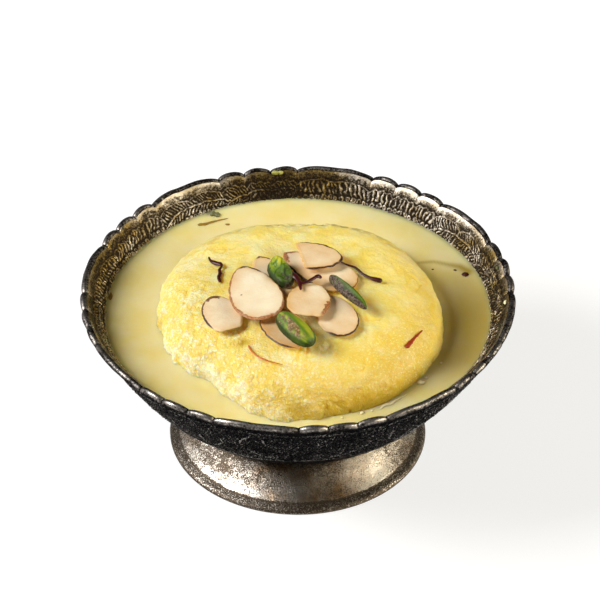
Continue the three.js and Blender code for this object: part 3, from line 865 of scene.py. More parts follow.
# %% [markdown]
# ## The curd's skin
# Its skin is an open sponge: grains of about a millimetre, drawn into folds where it slumps at the side,
# and gentle swells from the hands that shaped it. It is roughest low on the left, nearly smooth under the
# garnish, and cracked into small creases. Each is one term of the displacement along the surface's normal.

# %% Patty skin
PATTY_MEAN_REACH = 34.0
ROUGH_BEARING = -139
DENT = (-12.5, -23.7, 1.7, 1.2)
SOAKED_SPOT = (-33.6, -6.3, 1.6, 1.9)
GARNISH_CENTRE = (-2, -7)


def mark(points, x, y, half_x, half_y):
    """A soft mark, 1 at (x, y) and falling as exp(-r^2), with r measured in its half sizes."""
    return np.exp(-(((points[..., 0] - x) / half_x) ** 2 + ((points[..., 1] - y) / half_y) ** 2))


# Lengths round the patty and down its skin, so that grains can be drawn out down the slope.
steps = np.hypot(np.diff(share * PATTY_MEAN_REACH, axis=0), np.diff(profile_z, axis=0))
way_down = np.concatenate([[[0]], np.cumsum(steps, axis=0)])
way_round = angle * PATTY_MEAN_REACH * np.clip(share, 0.5, 1)
drawn = np.stack(np.broadcast_arrays(way_round, 0.3 * way_down, 0), -1)
drawn = drawn + 0.4 * smooth_noise(patty, 2.5, 61)[..., None]
bent = patty + 0.4 * np.stack([smooth_noise(patty, 0.9, seed) for seed in (90, 91, 92)], -1)

bearing, height = np.degrees(angle), patty[..., 2]
rough = (1 - smooth_step(away_from(bearing, ROUGH_BEARING), 34, 74)) * smooth_step(share, 0.45, 0.9)
rough = np.clip(rough * (1 + 0.5 * smooth_noise(patty, 7.0, 66)), 0, 1)
far_side = near_bearing(bearing, 84, 38)
fringe = near_bearing(bearing, -124, 44) * (1 - smooth_step(height, 39.0, 43.0))
swell = layers(patty, (0.4, 10.0, 64), (0.26, 4.2, 65), (0.13, 2.0, 69), (0.1, 1.0, 67))
pebbles = grains(bent, 1.1, 63, 0.6, 0.35)
curds = grains(bent, 2.6, 60, 0.7, 0.5)
furrows = smooth_noise(drawn, 2.4, 62) * smooth_step(share, 0.86, 0.96)
puffs = layers(bent, (0.6, 2.0, 93), (0.5, 0.8, 94))
crease = ridge(smooth_noise(bent, 6.0, 95), 0.05) * smooth_step(smooth_noise(patty, 8.0, 96), 0.0, 0.4)
ragged = far_side * smooth_step(share, 0.72, 0.8) * smooth_noise(bent, 1.3, 97)
lift = (swell + (0.1 + 0.3 * rough + 0.45 * fringe) * furrows + (0.12 + 0.2 * rough) * (curds - 0.5)
        + (0.05 + 0.16 * rough) * (pebbles - 0.5) + 0.2 * rough * puffs - 0.3 * crease + 0.35 * ragged)
from_garnish = np.hypot(patty[..., 0] - GARNISH_CENTRE[0], patty[..., 1] - GARNISH_CENTRE[1])
lift = lift * (0.25 + 0.75 * smooth_step(from_garnish, 13, 19)) - 0.2
lift = lift * smooth_step(height, PATTY_BELLY_Z, PATTY_BELLY_Z + 4)
dent, spot = mark(patty, *DENT), mark(patty, *SOAKED_SPOT)
patty = patty + outward * (lift - 0.3 * dent)[..., None]
print(f"skin moves by {lift.min():.2f} to {lift.max():.2f} mm")

# %% [markdown]
# ## The curd's colours
# The same terms tell where the curd is pale and where it is yellow: crests are white, partly dried curd and
# partly painted highlight; hollows and creases are deeper yellow, partly milk and partly painted shade; the
# left side is paler, painted light, and the front is paler too; the right flank and a band just over the milk
# are deeper yellow, painted shade; a dark line along the far edge of the dome is a painted shadow; and glints
# on the right flank are painted.

# %% Patty colours
BRINK_SHARE = 0.826

# Painted shade: deeper yellow on the right flank and in a band just over the milk at the front right.
low_right = near_bearing(bearing, -40, 62) * smooth_step(share, 0.55, 0.92)
foot_band = near_bearing(bearing, -66, 27) * (1 - smooth_step(patty[..., 2], 39.0, 43.5))
# Painted light: paler on the left, towards the lamp; paler at the front too.
pale = humps(bearing, [(1.0, 185, 62), (0.9, -92, 26)]) * smooth_step(share, 0.3, 0.8)
# Deeper yellow in hollows and creases: partly milk held there, partly painted shade.
hollow = (0.4 - 0.3 * (pebbles - 0.4) * (0.2 + rough) - 0.4 * furrows * rough - 0.35 * puffs * (0.4 + rough)
          - 0.32 * smooth_noise(patty, 3.2, 68) + 0.6 * crease + 1.2 * dent)
# Whiter crests: partly dried curd, partly painted highlight; whiter low on the left as painted light.
white = (rough * (0.4 * (pebbles - 0.3) + 0.7 * puffs) + 0.2 * (curds - 0.5)
         + fringe * (0.7 + 0.6 * furrows) + 0.36 * pale)
# Painted shadow: a dark line along the far edge of the dome.
far_edge = far_side * ridge(share - BRINK_SHARE, 0.04) * smooth_step(smooth_noise(bent, 1.4, 98), -0.5, 0.15)
# Painted glints on the right flank.
sparkling = near_bearing(bearing, -44, 30) * smooth_step(share, 0.5, 0.8) * (1 - 0.8 * foot_band)
shown = {"hollow": np.clip(hollow, 0, 1.2),
         "crest": np.clip(white, 0, 0.85),
         "rough": np.clip(0.2 + 0.25 * low_right + 0.85 * rough, 0, 1),
         "soaked_and_shade": np.clip(0.5 * low_right + 0.8 * foot_band + dent + 0.9 * spot, 0, 1),
         "wet_painted_glint": 1.3 * sparkling,
         "edge_shade_and_stain": np.clip(0.8 * far_edge + 0.3 * dent + 0.15 * spot, 0, 1)}
make_piece("chenna_patty_curd", [(patty, shown)], chenna, ["chenna_patty"])

# %% [markdown]
# ## Saffron milk
# Reduced sweet milk is opaque and glossy, coloured by saffron. Deeper yellow, mostly a painted shadow, a
# stain and the thin grey edge over the silver are three attributes that tint one plain body in turn.

# %% Milk material
def make_milk():
    """Thickened saffron milk: opaque, wet and smooth, deeper yellow in the patty's painted shadow and a
    little on the left, thinner and greyer at its edge over the silver."""
    material, shader, place = new_material("saffron_milk")
    edge, soaked_and_shade, stain = [add_node(material, "Attribute", {}, "Fac", attribute_name=field)
                           for field in ("edge", "soaked_and_shade", "stain")]
    patch, fat = [
        add_node(material, "TexNoise",
                 {"Vector": place, "Scale": 1 / (size * MM), "Detail": detail, "Roughness": harshness})
        for size, detail, harshness in ((9, 3.0, 0.55), (1.2, 2.0, 0.5))]
    share = add_node(material, "MapRange", {"Value": patch, "From Min": 0.35, "From Max": 0.65})
    colour = add_node(material, "Mix", {0: share, 6: srgb("#efe1a8"), 7: srgb("#edda8e")}, 2,
                      data_type="RGBA")
    for amount, code in ((soaked_and_shade, "#ab8c1a"), (stain, "#a4891c"), (edge, "#a9a067")):
        colour = add_node(material, "Mix", {0: amount, 6: colour, 7: srgb(code)}, 2, data_type="RGBA")
    bump = add_node(material, "Bump", {"Height": fat, "Distance": 0.02 * MM})
    connect(material, shader, {"Base Color": colour, "Normal": bump, "Roughness": 0.14, "IOR": 1.35,
                               "Subsurface Weight": 0.8, "Subsurface Scale": 1.0,
                               "Subsurface Radius": (4.0 * MM, 3.0 * MM, 0.9 * MM)})
    return material


saffron_milk = make_milk()

# %% [markdown]
# ## The milk's surface
# It climbs a little up the silver and up the curd, and is otherwise level. One closed grid serves: it
# starts under the patty, comes up along the curd, crosses to the wall with its rows closest at both ends,
# and goes down just inside the silver, so that no gap shows.

# %% Milk form
MILK_COLUMNS = 720
MILK_TOP_ROWS = 44
MILK_WALL_ROWS = 10
MILK_REACH_INTO_WALL = 0.5
MILK_UNDER_CURD = 2.0
WALL_MENISCUS = 0.45
CURD_MENISCUS = 0.15

angle = np.linspace(-np.pi, np.pi, MILK_COLUMNS, endpoint=False)[None, :]
milk_inset = WALL_THICKNESS - MILK_REACH_INTO_WALL
inside_r, inside_z = wall_inside(np.linspace(0, BEAD_CENTRE_RADIUS, 400), milk_inset)


def milk_wall(z):
    """Radius just inside the silver at a height."""
    return np.interp(z, inside_z, inside_r)


milk_share = (MILK_LEVEL - PATTY_EQUATOR_Z) / (PATTY_CROWN_Z - PATTY_EQUATOR_Z)
waterline = (1 - milk_share ** 2) ** (1 / PATTY_SQUARENESS)
curd_reach = patty_reach(angle) * waterline - MILK_UNDER_CURD
start = polar(curd_reach, MILK_LEVEL, angle, PATTY_CENTRE)
crossing = polar(milk_wall(MILK_LEVEL + WALL_MENISCUS), MILK_LEVEL, angle) - start
gap = np.linalg.norm(crossing, axis=-1)
across = np.linspace(-1, 1, MILK_TOP_ROWS)[:, None]
across = (across + 0.22 * np.sin(np.pi * across)) / 2 + 0.5
from_patty, from_wall = gap * across - MILK_UNDER_CURD, gap * (1 - across)
top = start + crossing * across[..., None]
top[..., 2] += WALL_MENISCUS * np.exp(-from_wall / 0.8)
top[..., 2] += CURD_MENISCUS * np.exp(-np.maximum(from_patty, 0) / 0.7)
top[..., 2] += 0.04 * smooth_noise(top, 6.0, 71)
down_z = np.linspace(MILK_LEVEL - 1, inside_z[0] + 0.4, MILK_WALL_ROWS)[:, None]
down_r = milk_wall(down_z)
down_r[-1] = 0
down_wall = polar(down_r, down_z, angle)
pocket_share = np.array([0.0, 0.5, 0.8, 0.95])[:, None]
pocket_z = PATTY_BELLY_Z + 1 + (MILK_LEVEL - 1 - PATTY_BELLY_Z) * pocket_share ** 2
pocket = polar(curd_reach * pocket_share, pocket_z, angle, PATTY_CENTRE)
milk = np.concatenate([pocket, top, down_wall])
print(f"milk crosses {gap.min():.1f} to {gap.max():.1f} mm from under the curd to the silver")

# %% [markdown]
# ## The milk's tints
# To the right the patty keeps the light off, and the milk there is painted deeper yellow, a painted shadow;
# the milk is also a little deeper on the left. A thread has bled a long stain behind on the right: it is
# drawn as a line of points, each with its own width, and fades away from it.

# %% Milk tints
SHADE_BEARING = -8
STREAK = [(29.4, 19.2, 0.5), (33.0, 19.6, 0.6), (36.6, 18.4, 0.8), (39.2, 17.6, 1.2), (41.2, 15.8, 1.4)]

bearing = np.degrees(angle)
# Painted shadow: deeper yellow to the right of the patty, a little less close to it; a little deeper on the
# left too.
shade = 1 - smooth_step(away_from(bearing, SHADE_BEARING), 10, 42)
shade = shade * (0.4 + 0.34 * smooth_step(from_patty, 0.0, 5.5))
on_top = slice(len(pocket), len(pocket) + len(top))
edge, soaked_and_shade, stain = [np.zeros(milk.shape[:2]) for _ in range(3)]
edge[on_top] = 0.6 * np.exp(-(np.maximum(from_wall - 0.7, 0) / 0.7) ** 2)
soaked_and_shade[on_top] = shade + 0.1 * near_bearing(bearing, -175, 60)
for (*here, width), (*there, next_width) in zip(STREAK, STREAK[1:]):
    run, offset = np.subtract(there, here), milk[..., :2] - here
    along = np.clip(offset @ run / (run @ run), 0, 1)
    spread = width + (next_width - width) * along
    away = np.linalg.norm(offset - along[..., None] * run, axis=-1)
    stain = np.maximum(stain, spread ** 0.5 * np.exp(-(away / spread) ** 2))
shown = {"edge": edge, "soaked_and_shade": soaked_and_shade, "stain": np.clip(0.75 * stain, 0, 1)}
make_piece("saffron_milk_body", [(milk, shown)], saffron_milk, ["milk"])

# %% [markdown]
# ## Almond
# A shaved almond is matt ivory flesh, tanner near its edge, partly as painted shade. The skin goes from
# orange-brown, where it is thin and frayed, to dark maroon, where it is thick, and it never quite covers.

# %% Almond material
def make_almond():
    """Shaved almond: matt ivory flesh, tanner towards its edge partly as painted shade, and skin from
    orange-brown to maroon.
    """
    material, shader, place = new_material("almond_flesh_and_skin")
    skin, dark, tan = [add_node(material, "Attribute", {}, "Fac", attribute_name=field)
                       for field in ("skin", "dark", "tan")]
    patch, fray = [
        add_node(material, "TexNoise",
                 {"Vector": place, "Scale": 1 / (size * MM), "Detail": detail, "Roughness": harshness})
        for size, detail, harshness in ((3, 4.0, 0.55), (0.5, 3.0, 0.6))]
    shade = add_node(material, "Math", {0: patch, 1: 0.6, 2: tan}, operation="MULTIPLY_ADD")
    share = add_node(material, "MapRange", {"Value": shade, "From Min": 0.25, "From Max": 1.3})
    least = add_node(material, "MapRange", {"Value": dark, "To Min": 0.35, "To Max": 0.95})
    uneven = add_node(material, "MapRange",
                      {"Value": fray, "From Min": 0.3, "From Max": 0.62, "To Min": least})
    covered = add_node(material, "Math", {0: skin, 1: uneven}, operation="MULTIPLY")
    flesh, peel = [
        add_node(material, "Mix", {0: amount, 6: srgb(code), 7: srgb(other)}, 2, data_type="RGBA")
        for amount, code, other in ((share, "#f8e8c8", "#d8a862"), (dark, "#b8692a", "#2a0e08"))]
    colour = add_node(material, "Mix", {0: covered, 6: flesh, 7: peel}, 2, data_type="RGBA")
    bump = add_node(material, "Bump", {"Height": fray, "Distance": 0.06 * MM})
    connect(material, shader, {"Base Color": colour, "Normal": bump, "Roughness": 0.45, "IOR": 1.45,
                               "Subsurface Weight": 0.3, "Subsurface Scale": 1.0,
                               "Subsurface Radius": (1.2 * MM, 0.8 * MM, 0.4 * MM)})
    return material


almond = make_almond()

# %% [markdown]
# ## Almond slices
# Each slice takes its outline and its thickness from its plain solid. Its upper face is nearly flat, and
# its lower face rises to a thin edge, which a few rings of points follow round in a half circle.

# %% Slice form
SLICE_COLUMNS = 180
SLICE_FACE_ROWS = 34
SLICE_EDGE_ROWS = 7
EDGE_HALF_SHARE, EDGE_MIDDLE_SHARE = 0.24, 0.2


def slice_form(node, seed, wave):
    """(points, centre, inward, rings) of a slice: how far each point lies in from the outline, and its
    share of the way out. The upper face falls as rings^26, and the lower one rises as rings^3."""
    points = node_points(node)
    centre, axes = lying_frame(points)
    local = (points - centre) @ axes.T
    half = local[:, 2].max()
    angle = np.linspace(-np.pi, np.pi, SLICE_COLUMNS, endpoint=False)[None, :]
    reach = reach_by_bearing(local[:, :2], SLICE_COLUMNS)[None, :]
    reach = reach * (1 - wave + wave * smooth_noise(polar(5, 0, angle), 1.0, seed))
    ring = np.sin(np.linspace(0, np.pi / 2, SLICE_FACE_ROWS))[:, None]
    roll = np.linspace(0, np.pi, SLICE_EDGE_ROWS + 2)[1:-1, None]
    rings = np.concatenate([ring, np.ones_like(roll), ring[::-1]])
    edge_half, edge_middle = EDGE_HALF_SHARE * half, EDGE_MIDDLE_SHARE * half
    inset = edge_half * (1 - np.concatenate([0 * ring, np.sin(roll), 0 * ring]))
    upper = half - (half - edge_middle - edge_half) * ring ** 26
    lower = -half + (half + edge_middle - edge_half) * ring[::-1] ** 3
    lie = np.concatenate([upper, edge_middle + edge_half * np.cos(roll), lower])
    out = np.maximum(rings * (reach - inset * rings), 0)
    flat = polar(out, lie, angle)
    swells = layers(flat, (0.06, 3.0, seed + 1), (0.03, 1.0, seed + 4))
    flat[..., 2] += swells * (lie > edge_middle + 0.5 * edge_half)
    return centre + flat @ axes, centre, reach - out, rings

# %% [markdown]
# ## The slices' skins
# The brown skin is left as a thin line where the cut crossed it, and as a wider patch where the knife ran
# along it. Where it lies is told by arcs: the bearing of the arc's middle, half its span, how far the skin
# comes in from the edge, and how dark it is. Before its arcs, each slice has how wavy its outline is and
# how tan its flesh is. One slice has a dark spot too.

# %% Almond slice pieces
SLICE_SKINS = {
    "almond_slice_1": (0.01, 0.12, [(96, 20, 0.75, 0.95), (186, 100, 0.5, 0.4), (0, 70, 0.22, 0.6),
                                    (258, 48, 0.7, 0.2), (316, 22, 0.45, 0.45)]),
    "almond_slice_2": (0.01, 0.1, [(112, 22, 1.2, 0.75), (150, 20, 0.5, 0.9), (206, 50, 0.34, 0.95)]),
    "almond_slice_3": (0.02, 0.75, [(218, 75, 0.26, 0.95)]),
    "almond_slice_4": (0.03, 0.5, [(75, 58, 0.65, 0.95), (0, 34, 0.42, 1.0), (294, 46, 0.3, 0.95)]),
    "almond_slice_5": (0.01, 0.3, [(142, 22, 1.2, 0.4), (214, 56, 0.38, 0.95), (318, 28, 0.24, 0.6)]),
    "almond_slice_6": (0.03, 0.3, [(322, 30, 0.9, 0.45), (20, 30, 0.2, 0.6)]),
    "almond_slice_7": (0.01, 0.3, [(322, 80, 0.28, 0.95)]),
    "almond_slice_8": (0.01, 0.5, [(106, 14, 0.8, 0.95)]),
}
SPOTTED_SLICE = "almond_slice_1"
SPOT = (-3.0, -1.0)


def slice_skin(points, centre, inward, seed, arcs):
    """(skin, dark) of a slice: skin comes in from the edge by each arc's depth, frayed by noise, and the
    arc that covers a point most says how dark it is there."""
    bearing = np.degrees(np.arctan2(points[..., 1] - centre[1], points[..., 0] - centre[0]))
    fray = smooth_noise(points, 0.7, seed)
    skin, dark = np.zeros(inward.shape), np.zeros(inward.shape)
    for middle, half_span, depth, darkness in arcs:
        weight = smooth_step(half_span - away_from(bearing, middle), -4, 4 + 0.2 * half_span)
        cover = depth * weight * (1 + (0.6 - 0.3 * darkness) * fray) + 0.1 - inward
        cover = weight * smooth_step(cover, 0, 0.1)
        dark = np.where(cover > skin, darkness, dark)
        skin = np.maximum(skin, cover)
    return skin, dark


for number, (node, (wave, tan, arcs)) in enumerate(SLICE_SKINS.items()):
    seed = 80 + 5 * number
    shaving, centre, inward, rings = slice_form(node, seed, wave)
    skin, dark = slice_skin(shaving, centre, inward, seed + 2, arcs)
    if node == SPOTTED_SLICE:
        from_spot = np.linalg.norm((shaving - centre)[..., :2] - SPOT, axis=-1)
        at_spot = 1 - smooth_step(from_spot, 0.14, 0.26)
        skin, dark = np.maximum(skin, at_spot), np.where(at_spot > 0, 0.9, dark)
    # Tanner towards the edge: partly the almond's own tone, partly painted shade.
    tan_and_edge_shade = tan + 0.35 * smooth_noise(shaving, 5.0, seed + 3) + 0.5 * rings ** 5
    shown = {"skin": skin, "dark": dark, "tan": np.clip(tan_and_edge_shade, 0, 1.2)}
    make_piece(node.replace("slice", "shaving"), [(shaving, shown)], almond, [node])

# %% [markdown]
# ## Pistachios
# A pistachio kernel splits into two halves: a round back under thin skin that goes from green to purple,
# and a flat face inside. The green goes from dark in its veins to yellow on its facets, so it comes from a
# ramp of three greens, and the skin comes from two pairs of colours, one grey and one rosy.

# %% Pistachio material
def make_pistachio():
    """Soaked pistachio: green flesh with lighter streaks along it, and patches of purple-brown skin."""
    material, shader, place = new_material("pistachio_flesh_and_skin")
    skin, tone, ruddy = [add_node(material, "Attribute", {}, "Fac", attribute_name=field)
                         for field in ("skin", "tone", "ruddy")]
    mottle = add_node(material, "TexNoise",
                      {"Vector": place, "Scale": 1 / (0.6 * MM), "Detail": 4.0, "Roughness": 0.7})
    green = add_node(material, "ValToRGB", {"Fac": tone})
    stops = green.node.color_ramp.elements
    stops[0].color, stops[1].color = srgb("#2a3a0c"), srgb("#ccc42a")
    stops.new(0.5).color = srgb("#5c7c10")
    share = add_node(material, "MapRange", {"Value": mottle, "From Min": 0.44, "From Max": 0.72})
    grey, rosy = [
        add_node(material, "Mix", {0: share, 6: srgb(code), 7: srgb(other)}, 2, data_type="RGBA")
        for code, other in (("#241a18", "#907c70"), ("#64501a", "#d0a474"))]
    peel = add_node(material, "Mix", {0: ruddy, 6: grey, 7: rosy}, 2, data_type="RGBA")
    colour = add_node(material, "Mix", {0: skin, 6: green, 7: peel}, 2, data_type="RGBA")
    bump = add_node(material, "Bump", {"Height": mottle, "Distance": 0.2 * MM})
    connect(material, shader, {"Base Color": colour, "Normal": bump, "Roughness": 0.48, "IOR": 1.4})
    return material


pistachio = make_pistachio()

# %% [markdown]
# ## Kernels
# The halves lie on their flat faces, and the sliver was cut lengthwise, so it ends in points. One formula
# makes all three: sections along the kernel's length, each a dome over a flat face, shrinking at the ends.

# %% Kernel form
NUT_ROWS = 90
NUT_COLUMNS = 96


def make_nut(node, seed, blunt, facets, pointed):
    """Half a kernel along its solid's length: each section is a dome over a flat face. Its size follows
    (1 - |along|^blunt)^(1/2), so that the ends are round, or goes to a point; flat facets are cut into
    the dome by pressing it towards a few planes."""
    points = node_points(node)
    centre, axes = lying_frame(points)
    half_length, half_width, half_height = ((points - centre) @ axes.T).max(0)
    half_width = half_width * (1 - 0.3 * pointed)
    along = -np.cos(np.linspace(0, np.pi, NUT_ROWS))[:, None]
    size = np.sqrt(np.clip(1 - np.abs(along) ** blunt, 0, 1)) * (1 - pointed * along ** 2)
    turn = np.linspace(0, 2 * np.pi, NUT_COLUMNS, endpoint=False)[None, :]
    across, high = np.cos(turn) + 0 * along, np.abs(np.sin(turn))
    rise = np.where(np.sin(turn) > 0, high ** 0.9, -0.12 * high ** 0.5) + 0 * along
    pressed = 0.5 * np.cos(3 * turn + 2 * along) - 0.25 * np.abs(across + 0.2 * along)
    height = 1.86 * half_height * size ** 0.8 * rise * (1 + facets * pressed)
    body = np.stack(np.broadcast_arrays(half_length * along, half_width * size * across, height), -1)
    uneven = layers(body, (0.06, 2.2, seed), (0.03, 0.8, seed + 1))
    body = body * (1 + uneven[..., None] * np.array([0, 1, 1])) - np.array([0, 0, 0.86 * half_height])
    return centre + body @ axes, along + 0 * turn, across, rise

# %% [markdown]
# ## The kernels' colours
# Each kernel is coloured by where a point lies along and across it. The upper half is veined and darkens
# to its low end, the lower half wears rosy skin on one flank, and the sliver is half flesh, half skin.

# %% Pistachio pieces
NUTS = {"pistachio_half_1": (131, 2.8, 0.4, 0.0), "pistachio_half_2": (137, 3.0, 0.14, 0.0),
        "pistachio_sliver": (143, 8.0, 0.45, 0.5)}
for node, (seed, *form) in NUTS.items():
    nut, along, across, rise = make_nut(node, seed, *form)
    streak = smooth_noise(np.stack([along * 1.8, across * 4, rise * 3], -1), 1.0, seed + 2)
    mottled = smooth_noise(nut, 0.9, seed + 3)
    outline = smooth_step(np.abs(across), 0.72, 0.95) + smooth_step(np.abs(along), 0.85, 0.98)
    ruddy = 0
    if node == "pistachio_half_1":
        low_end = smooth_step(-along + 0.3 * streak, -0.1, 0.6)
        facet = smooth_step(along, -0.2, 0.4) * np.exp(-((across + 0.1) / 0.4) ** 2)
        veins = ridge(smooth_noise(nut, 2.2, seed + 4), 0.12) + ridge(smooth_noise(nut, 1.3, seed + 5), 0.08)
        tone = 0.56 + 0.2 * streak + 0.4 * facet - 0.35 * veins - 0.5 * outline - 0.3 * low_end
        skin = low_end * smooth_step(mottled, 0.1, 0.5) * 0.7
    elif node == "pistachio_half_2":
        upper = smooth_step(across + 0.3 * streak, -0.3, 0.2)
        tone = 0.66 + 0.3 * streak - 0.5 * outline - 0.1 * upper
        skin = upper * (1 - smooth_step(across, 0.75, 0.9)) * smooth_step(-np.abs(along), -0.85, -0.55)
        skin = skin * smooth_step(mottled, -0.7, 0.1)
        ruddy = skin
    else:
        dull = smooth_step(across + 0.25 * streak, 0.0, 0.3)
        tone = 0.3 + 0.25 * streak
        skin = dull * smooth_step(mottled, -0.9, -0.3)
        ruddy = 0.12 * dull
    shown = {"tone": np.clip(tone, 0, 1), "skin": np.clip(skin, 0, 1), "ruddy": ruddy}
    make_piece(node.replace("pistachio", "pistachio_nut"), [(nut, shown)], pistachio, [node])

# %% [markdown]
# ## Small things
# Threads, crumbs and froth are too small to show more than two colours each, so one function makes a
# material for any of them: a dark and a light colour mixed by a noise of its own grain.

# %% Mottled material
def make_mottled(name, dark, light, roughness, grain, detail=3.0, harshness=0.6):
    """A small thing's own two colours, mixed by a noise of the grain's size in millimetres."""
    material, shader, place = new_material(name)
    noise = add_node(material, "TexNoise",
                     {"Vector": place, "Scale": 1 / (grain * MM), "Detail": detail, "Roughness": harshness})
    colour = add_node(material, "Mix", {0: noise, 6: srgb(dark), 7: srgb(light)}, 2, data_type="RGBA")
    connect(material, shader, {"Base Color": colour, "Roughness": roughness, "IOR": 1.45})
    return material

# %% [markdown]
# ## Saffron strands
# A saffron thread is a dried stigma: a thin red stem that widens to a small trumpet. Dry ones are dark
# maroon, soaked ones glow orange where they bleed into the curd. Each strand is a tube along a smooth
# path that lies on the dome, with its own thickness at each point.

# %% Strand form
STRAND_ROWS = 60
STRAND_SIDES = 12


def smooth_path(points, samples):
    """A smooth line through points: between two points, each coordinate is the cubic whose slopes are half
    the difference of the neighbours."""
    points = np.asarray(points, float)
    padded = np.vstack([2 * points[0] - points[1], points, 2 * points[-1] - points[-2]])
    at = np.linspace(0, len(points) - 1 - 1e-9, samples)
    k, t = at.astype(int), (at % 1)[:, None]
    before, start, end, after = padded[k], padded[k + 1], padded[k + 2], padded[k + 3]
    return 0.5 * (2 * start + (end - before) * t + (2 * before - 5 * start + 4 * end - after) * t ** 2
                  + (3 * start - before - 3 * end + after) * t ** 3)


def strand(points, thickness, seed, flat=0.7):
    """A closed tube along a path; thickness is interpolated along it, and the ends shrink to points."""
    path = smooth_path(points, STRAND_ROWS)
    heading = np.gradient(path, axis=0)
    heading /= np.linalg.norm(heading, axis=1, keepdims=True)
    sideways = np.cross(heading, [0, 0, 1])
    sideways /= np.linalg.norm(sideways, axis=1, keepdims=True)
    upward = np.cross(sideways, heading)
    part = np.linspace(0, 1, STRAND_ROWS)
    radius = np.interp(part, np.linspace(0, 1, len(thickness)), thickness) / 2
    radius = radius * np.sqrt(np.clip(1 - np.abs(2 * part - 1) ** 24, 0, 1))
    radius = radius * (1 + layers(path, (0.2, 1.1, 150 + seed), (0.15, 0.5, 170 + seed)))
    turn = np.linspace(0, 2 * np.pi, STRAND_SIDES, endpoint=False)[None, :, None]
    ring = np.cos(turn) * sideways[:, None] + flat * np.sin(turn) * upward[:, None]
    return path[:, None] + ring * radius[:, None, None]

# %% [markdown]
# ## Where the strands lie
# Four dry strands lie on top, two of them crossed in the middle. A pale one lies near the curd's front edge,
# and a soaked one has slid down its right side. Each has its path, its thickness in millimetres at evenly
# spaced places along it, and a seed for its unevenness.

# %% Saffron pieces
SAFFRON_STRANDS = {
    "saffron_threads_dry": ("#200508", "#541012", [
        strand(on_dome([(-21.2, 8.2), (-20.8, 6.5), (-19.7, 5.2), (-18.4, 4.4), (-18.1, 3.3), (-18.5, 2.2),
                        (-18.3, 0.6), (-18.6, -0.8), (-18.2, -2.9)], 0.25),
               [0.3, 0.6, 1.05, 1.1, 0.7, 0.6, 1.0, 0.85, 0.95], 1),
        strand(on_dome([(8.6, 3.2), (9.6, 2.6), (11.5, 2.6), (13.4, 2.4), (15.1, 0.3), (16.9, -1.2),
                        (19.9, -2.3)], [2.2, 2.2, 1.1, 0.5, 0.3, 0.3, 0.3]),
               [0.4, 0.55, 0.6, 0.75, 0.85, 0.95, 1.8], 2),
        strand([(-1.6, -3.6, 51.2), (-0.9, -5.0, 51.3), (0.3, -7.6, 51.4), (0.7, -10.7, 51.4)],
               [0.7, 1.5, 1.1, 0.5], 3),
        strand([(0.4, -8.0, 51.4), (1.9, -7.8, 51.5), (3.5, -6.6, 51.6), (4.7, -5.6, 51.6),
                (5.5, -6.4, 51.6)],
               [0.7, 0.7, 0.8, 1.2, 0.5], 4)]),
    "saffron_thread_pale": ("#b4480f", "#e28a2e", [
        strand(on_dome([(-11.3, -25.5), (-10.4, -27.7), (-8.5, -29.8), (-5.8, -31.3), (-3.3, -32.2)], 0.15),
               [0.45, 0.6, 0.5, 0.4, 0.15], 5)]),
    "saffron_threads_soaked": ("#7c200a", "#b0441a", [
        strand(on_dome([(28.9, -16.6), (26.9, -19.9), (24.9, -23.2)], 0.1), [0.35, 0.9, 1.5], 6, 0.45)]),
}
for name, (dark, light, threads) in SAFFRON_STRANDS.items():
    # Saffron thread: dark where dry and thick, redder where soaked, slightly glossy.
    saffron = make_mottled(name.replace("threads", "thread"), dark, light, 0.38, 0.6, 2.0, 0.5)
    make_piece(name, [(points, {}) for points in threads], saffron)

# %% [markdown]
# ## Crumbs and froth
# A few crumbs of pistachio float on the milk and stick to the rim. Specks of saffron lie by the stain on
# the right, and amber blots by a thread that has sunk at the back. Flecks and a line of froth lie where the
# milk meets the curd, and one has dried on the rim. Each is a small uneven lump or a flattened strand, and
# its height is told from the milk's surface. All of one kind are one mesh.

# %% Crumb form
LUMP_ROWS = 14
LUMP_COLUMNS = 20


def lump(x, y, rise, half_x, half_y, half_z, seed):
    """An uneven ellipsoid with those half sizes, its middle at a rise over the milk."""
    tilt = np.linspace(0, np.pi, LUMP_ROWS)[:, None]
    ball = polar(np.sin(tilt), np.cos(tilt), np.linspace(0, 2 * np.pi, LUMP_COLUMNS, endpoint=False))
    bumps = 0.28 * smooth_noise(ball * 1.5 + seed, 1.0, 160) + 0.2 * smooth_noise(ball * 4 + seed, 1.0, 161)
    return ball * (1 + bumps[..., None]) * (half_x, half_y, half_z) + (x, y, MILK_LEVEL + rise)


def floating(points, rise, thickness, seed, flat):
    """A flattened strand through points (x, y) at a rise over the milk."""
    return strand(np.insert(points, 2, MILK_LEVEL + rise, axis=1), thickness, seed, flat)


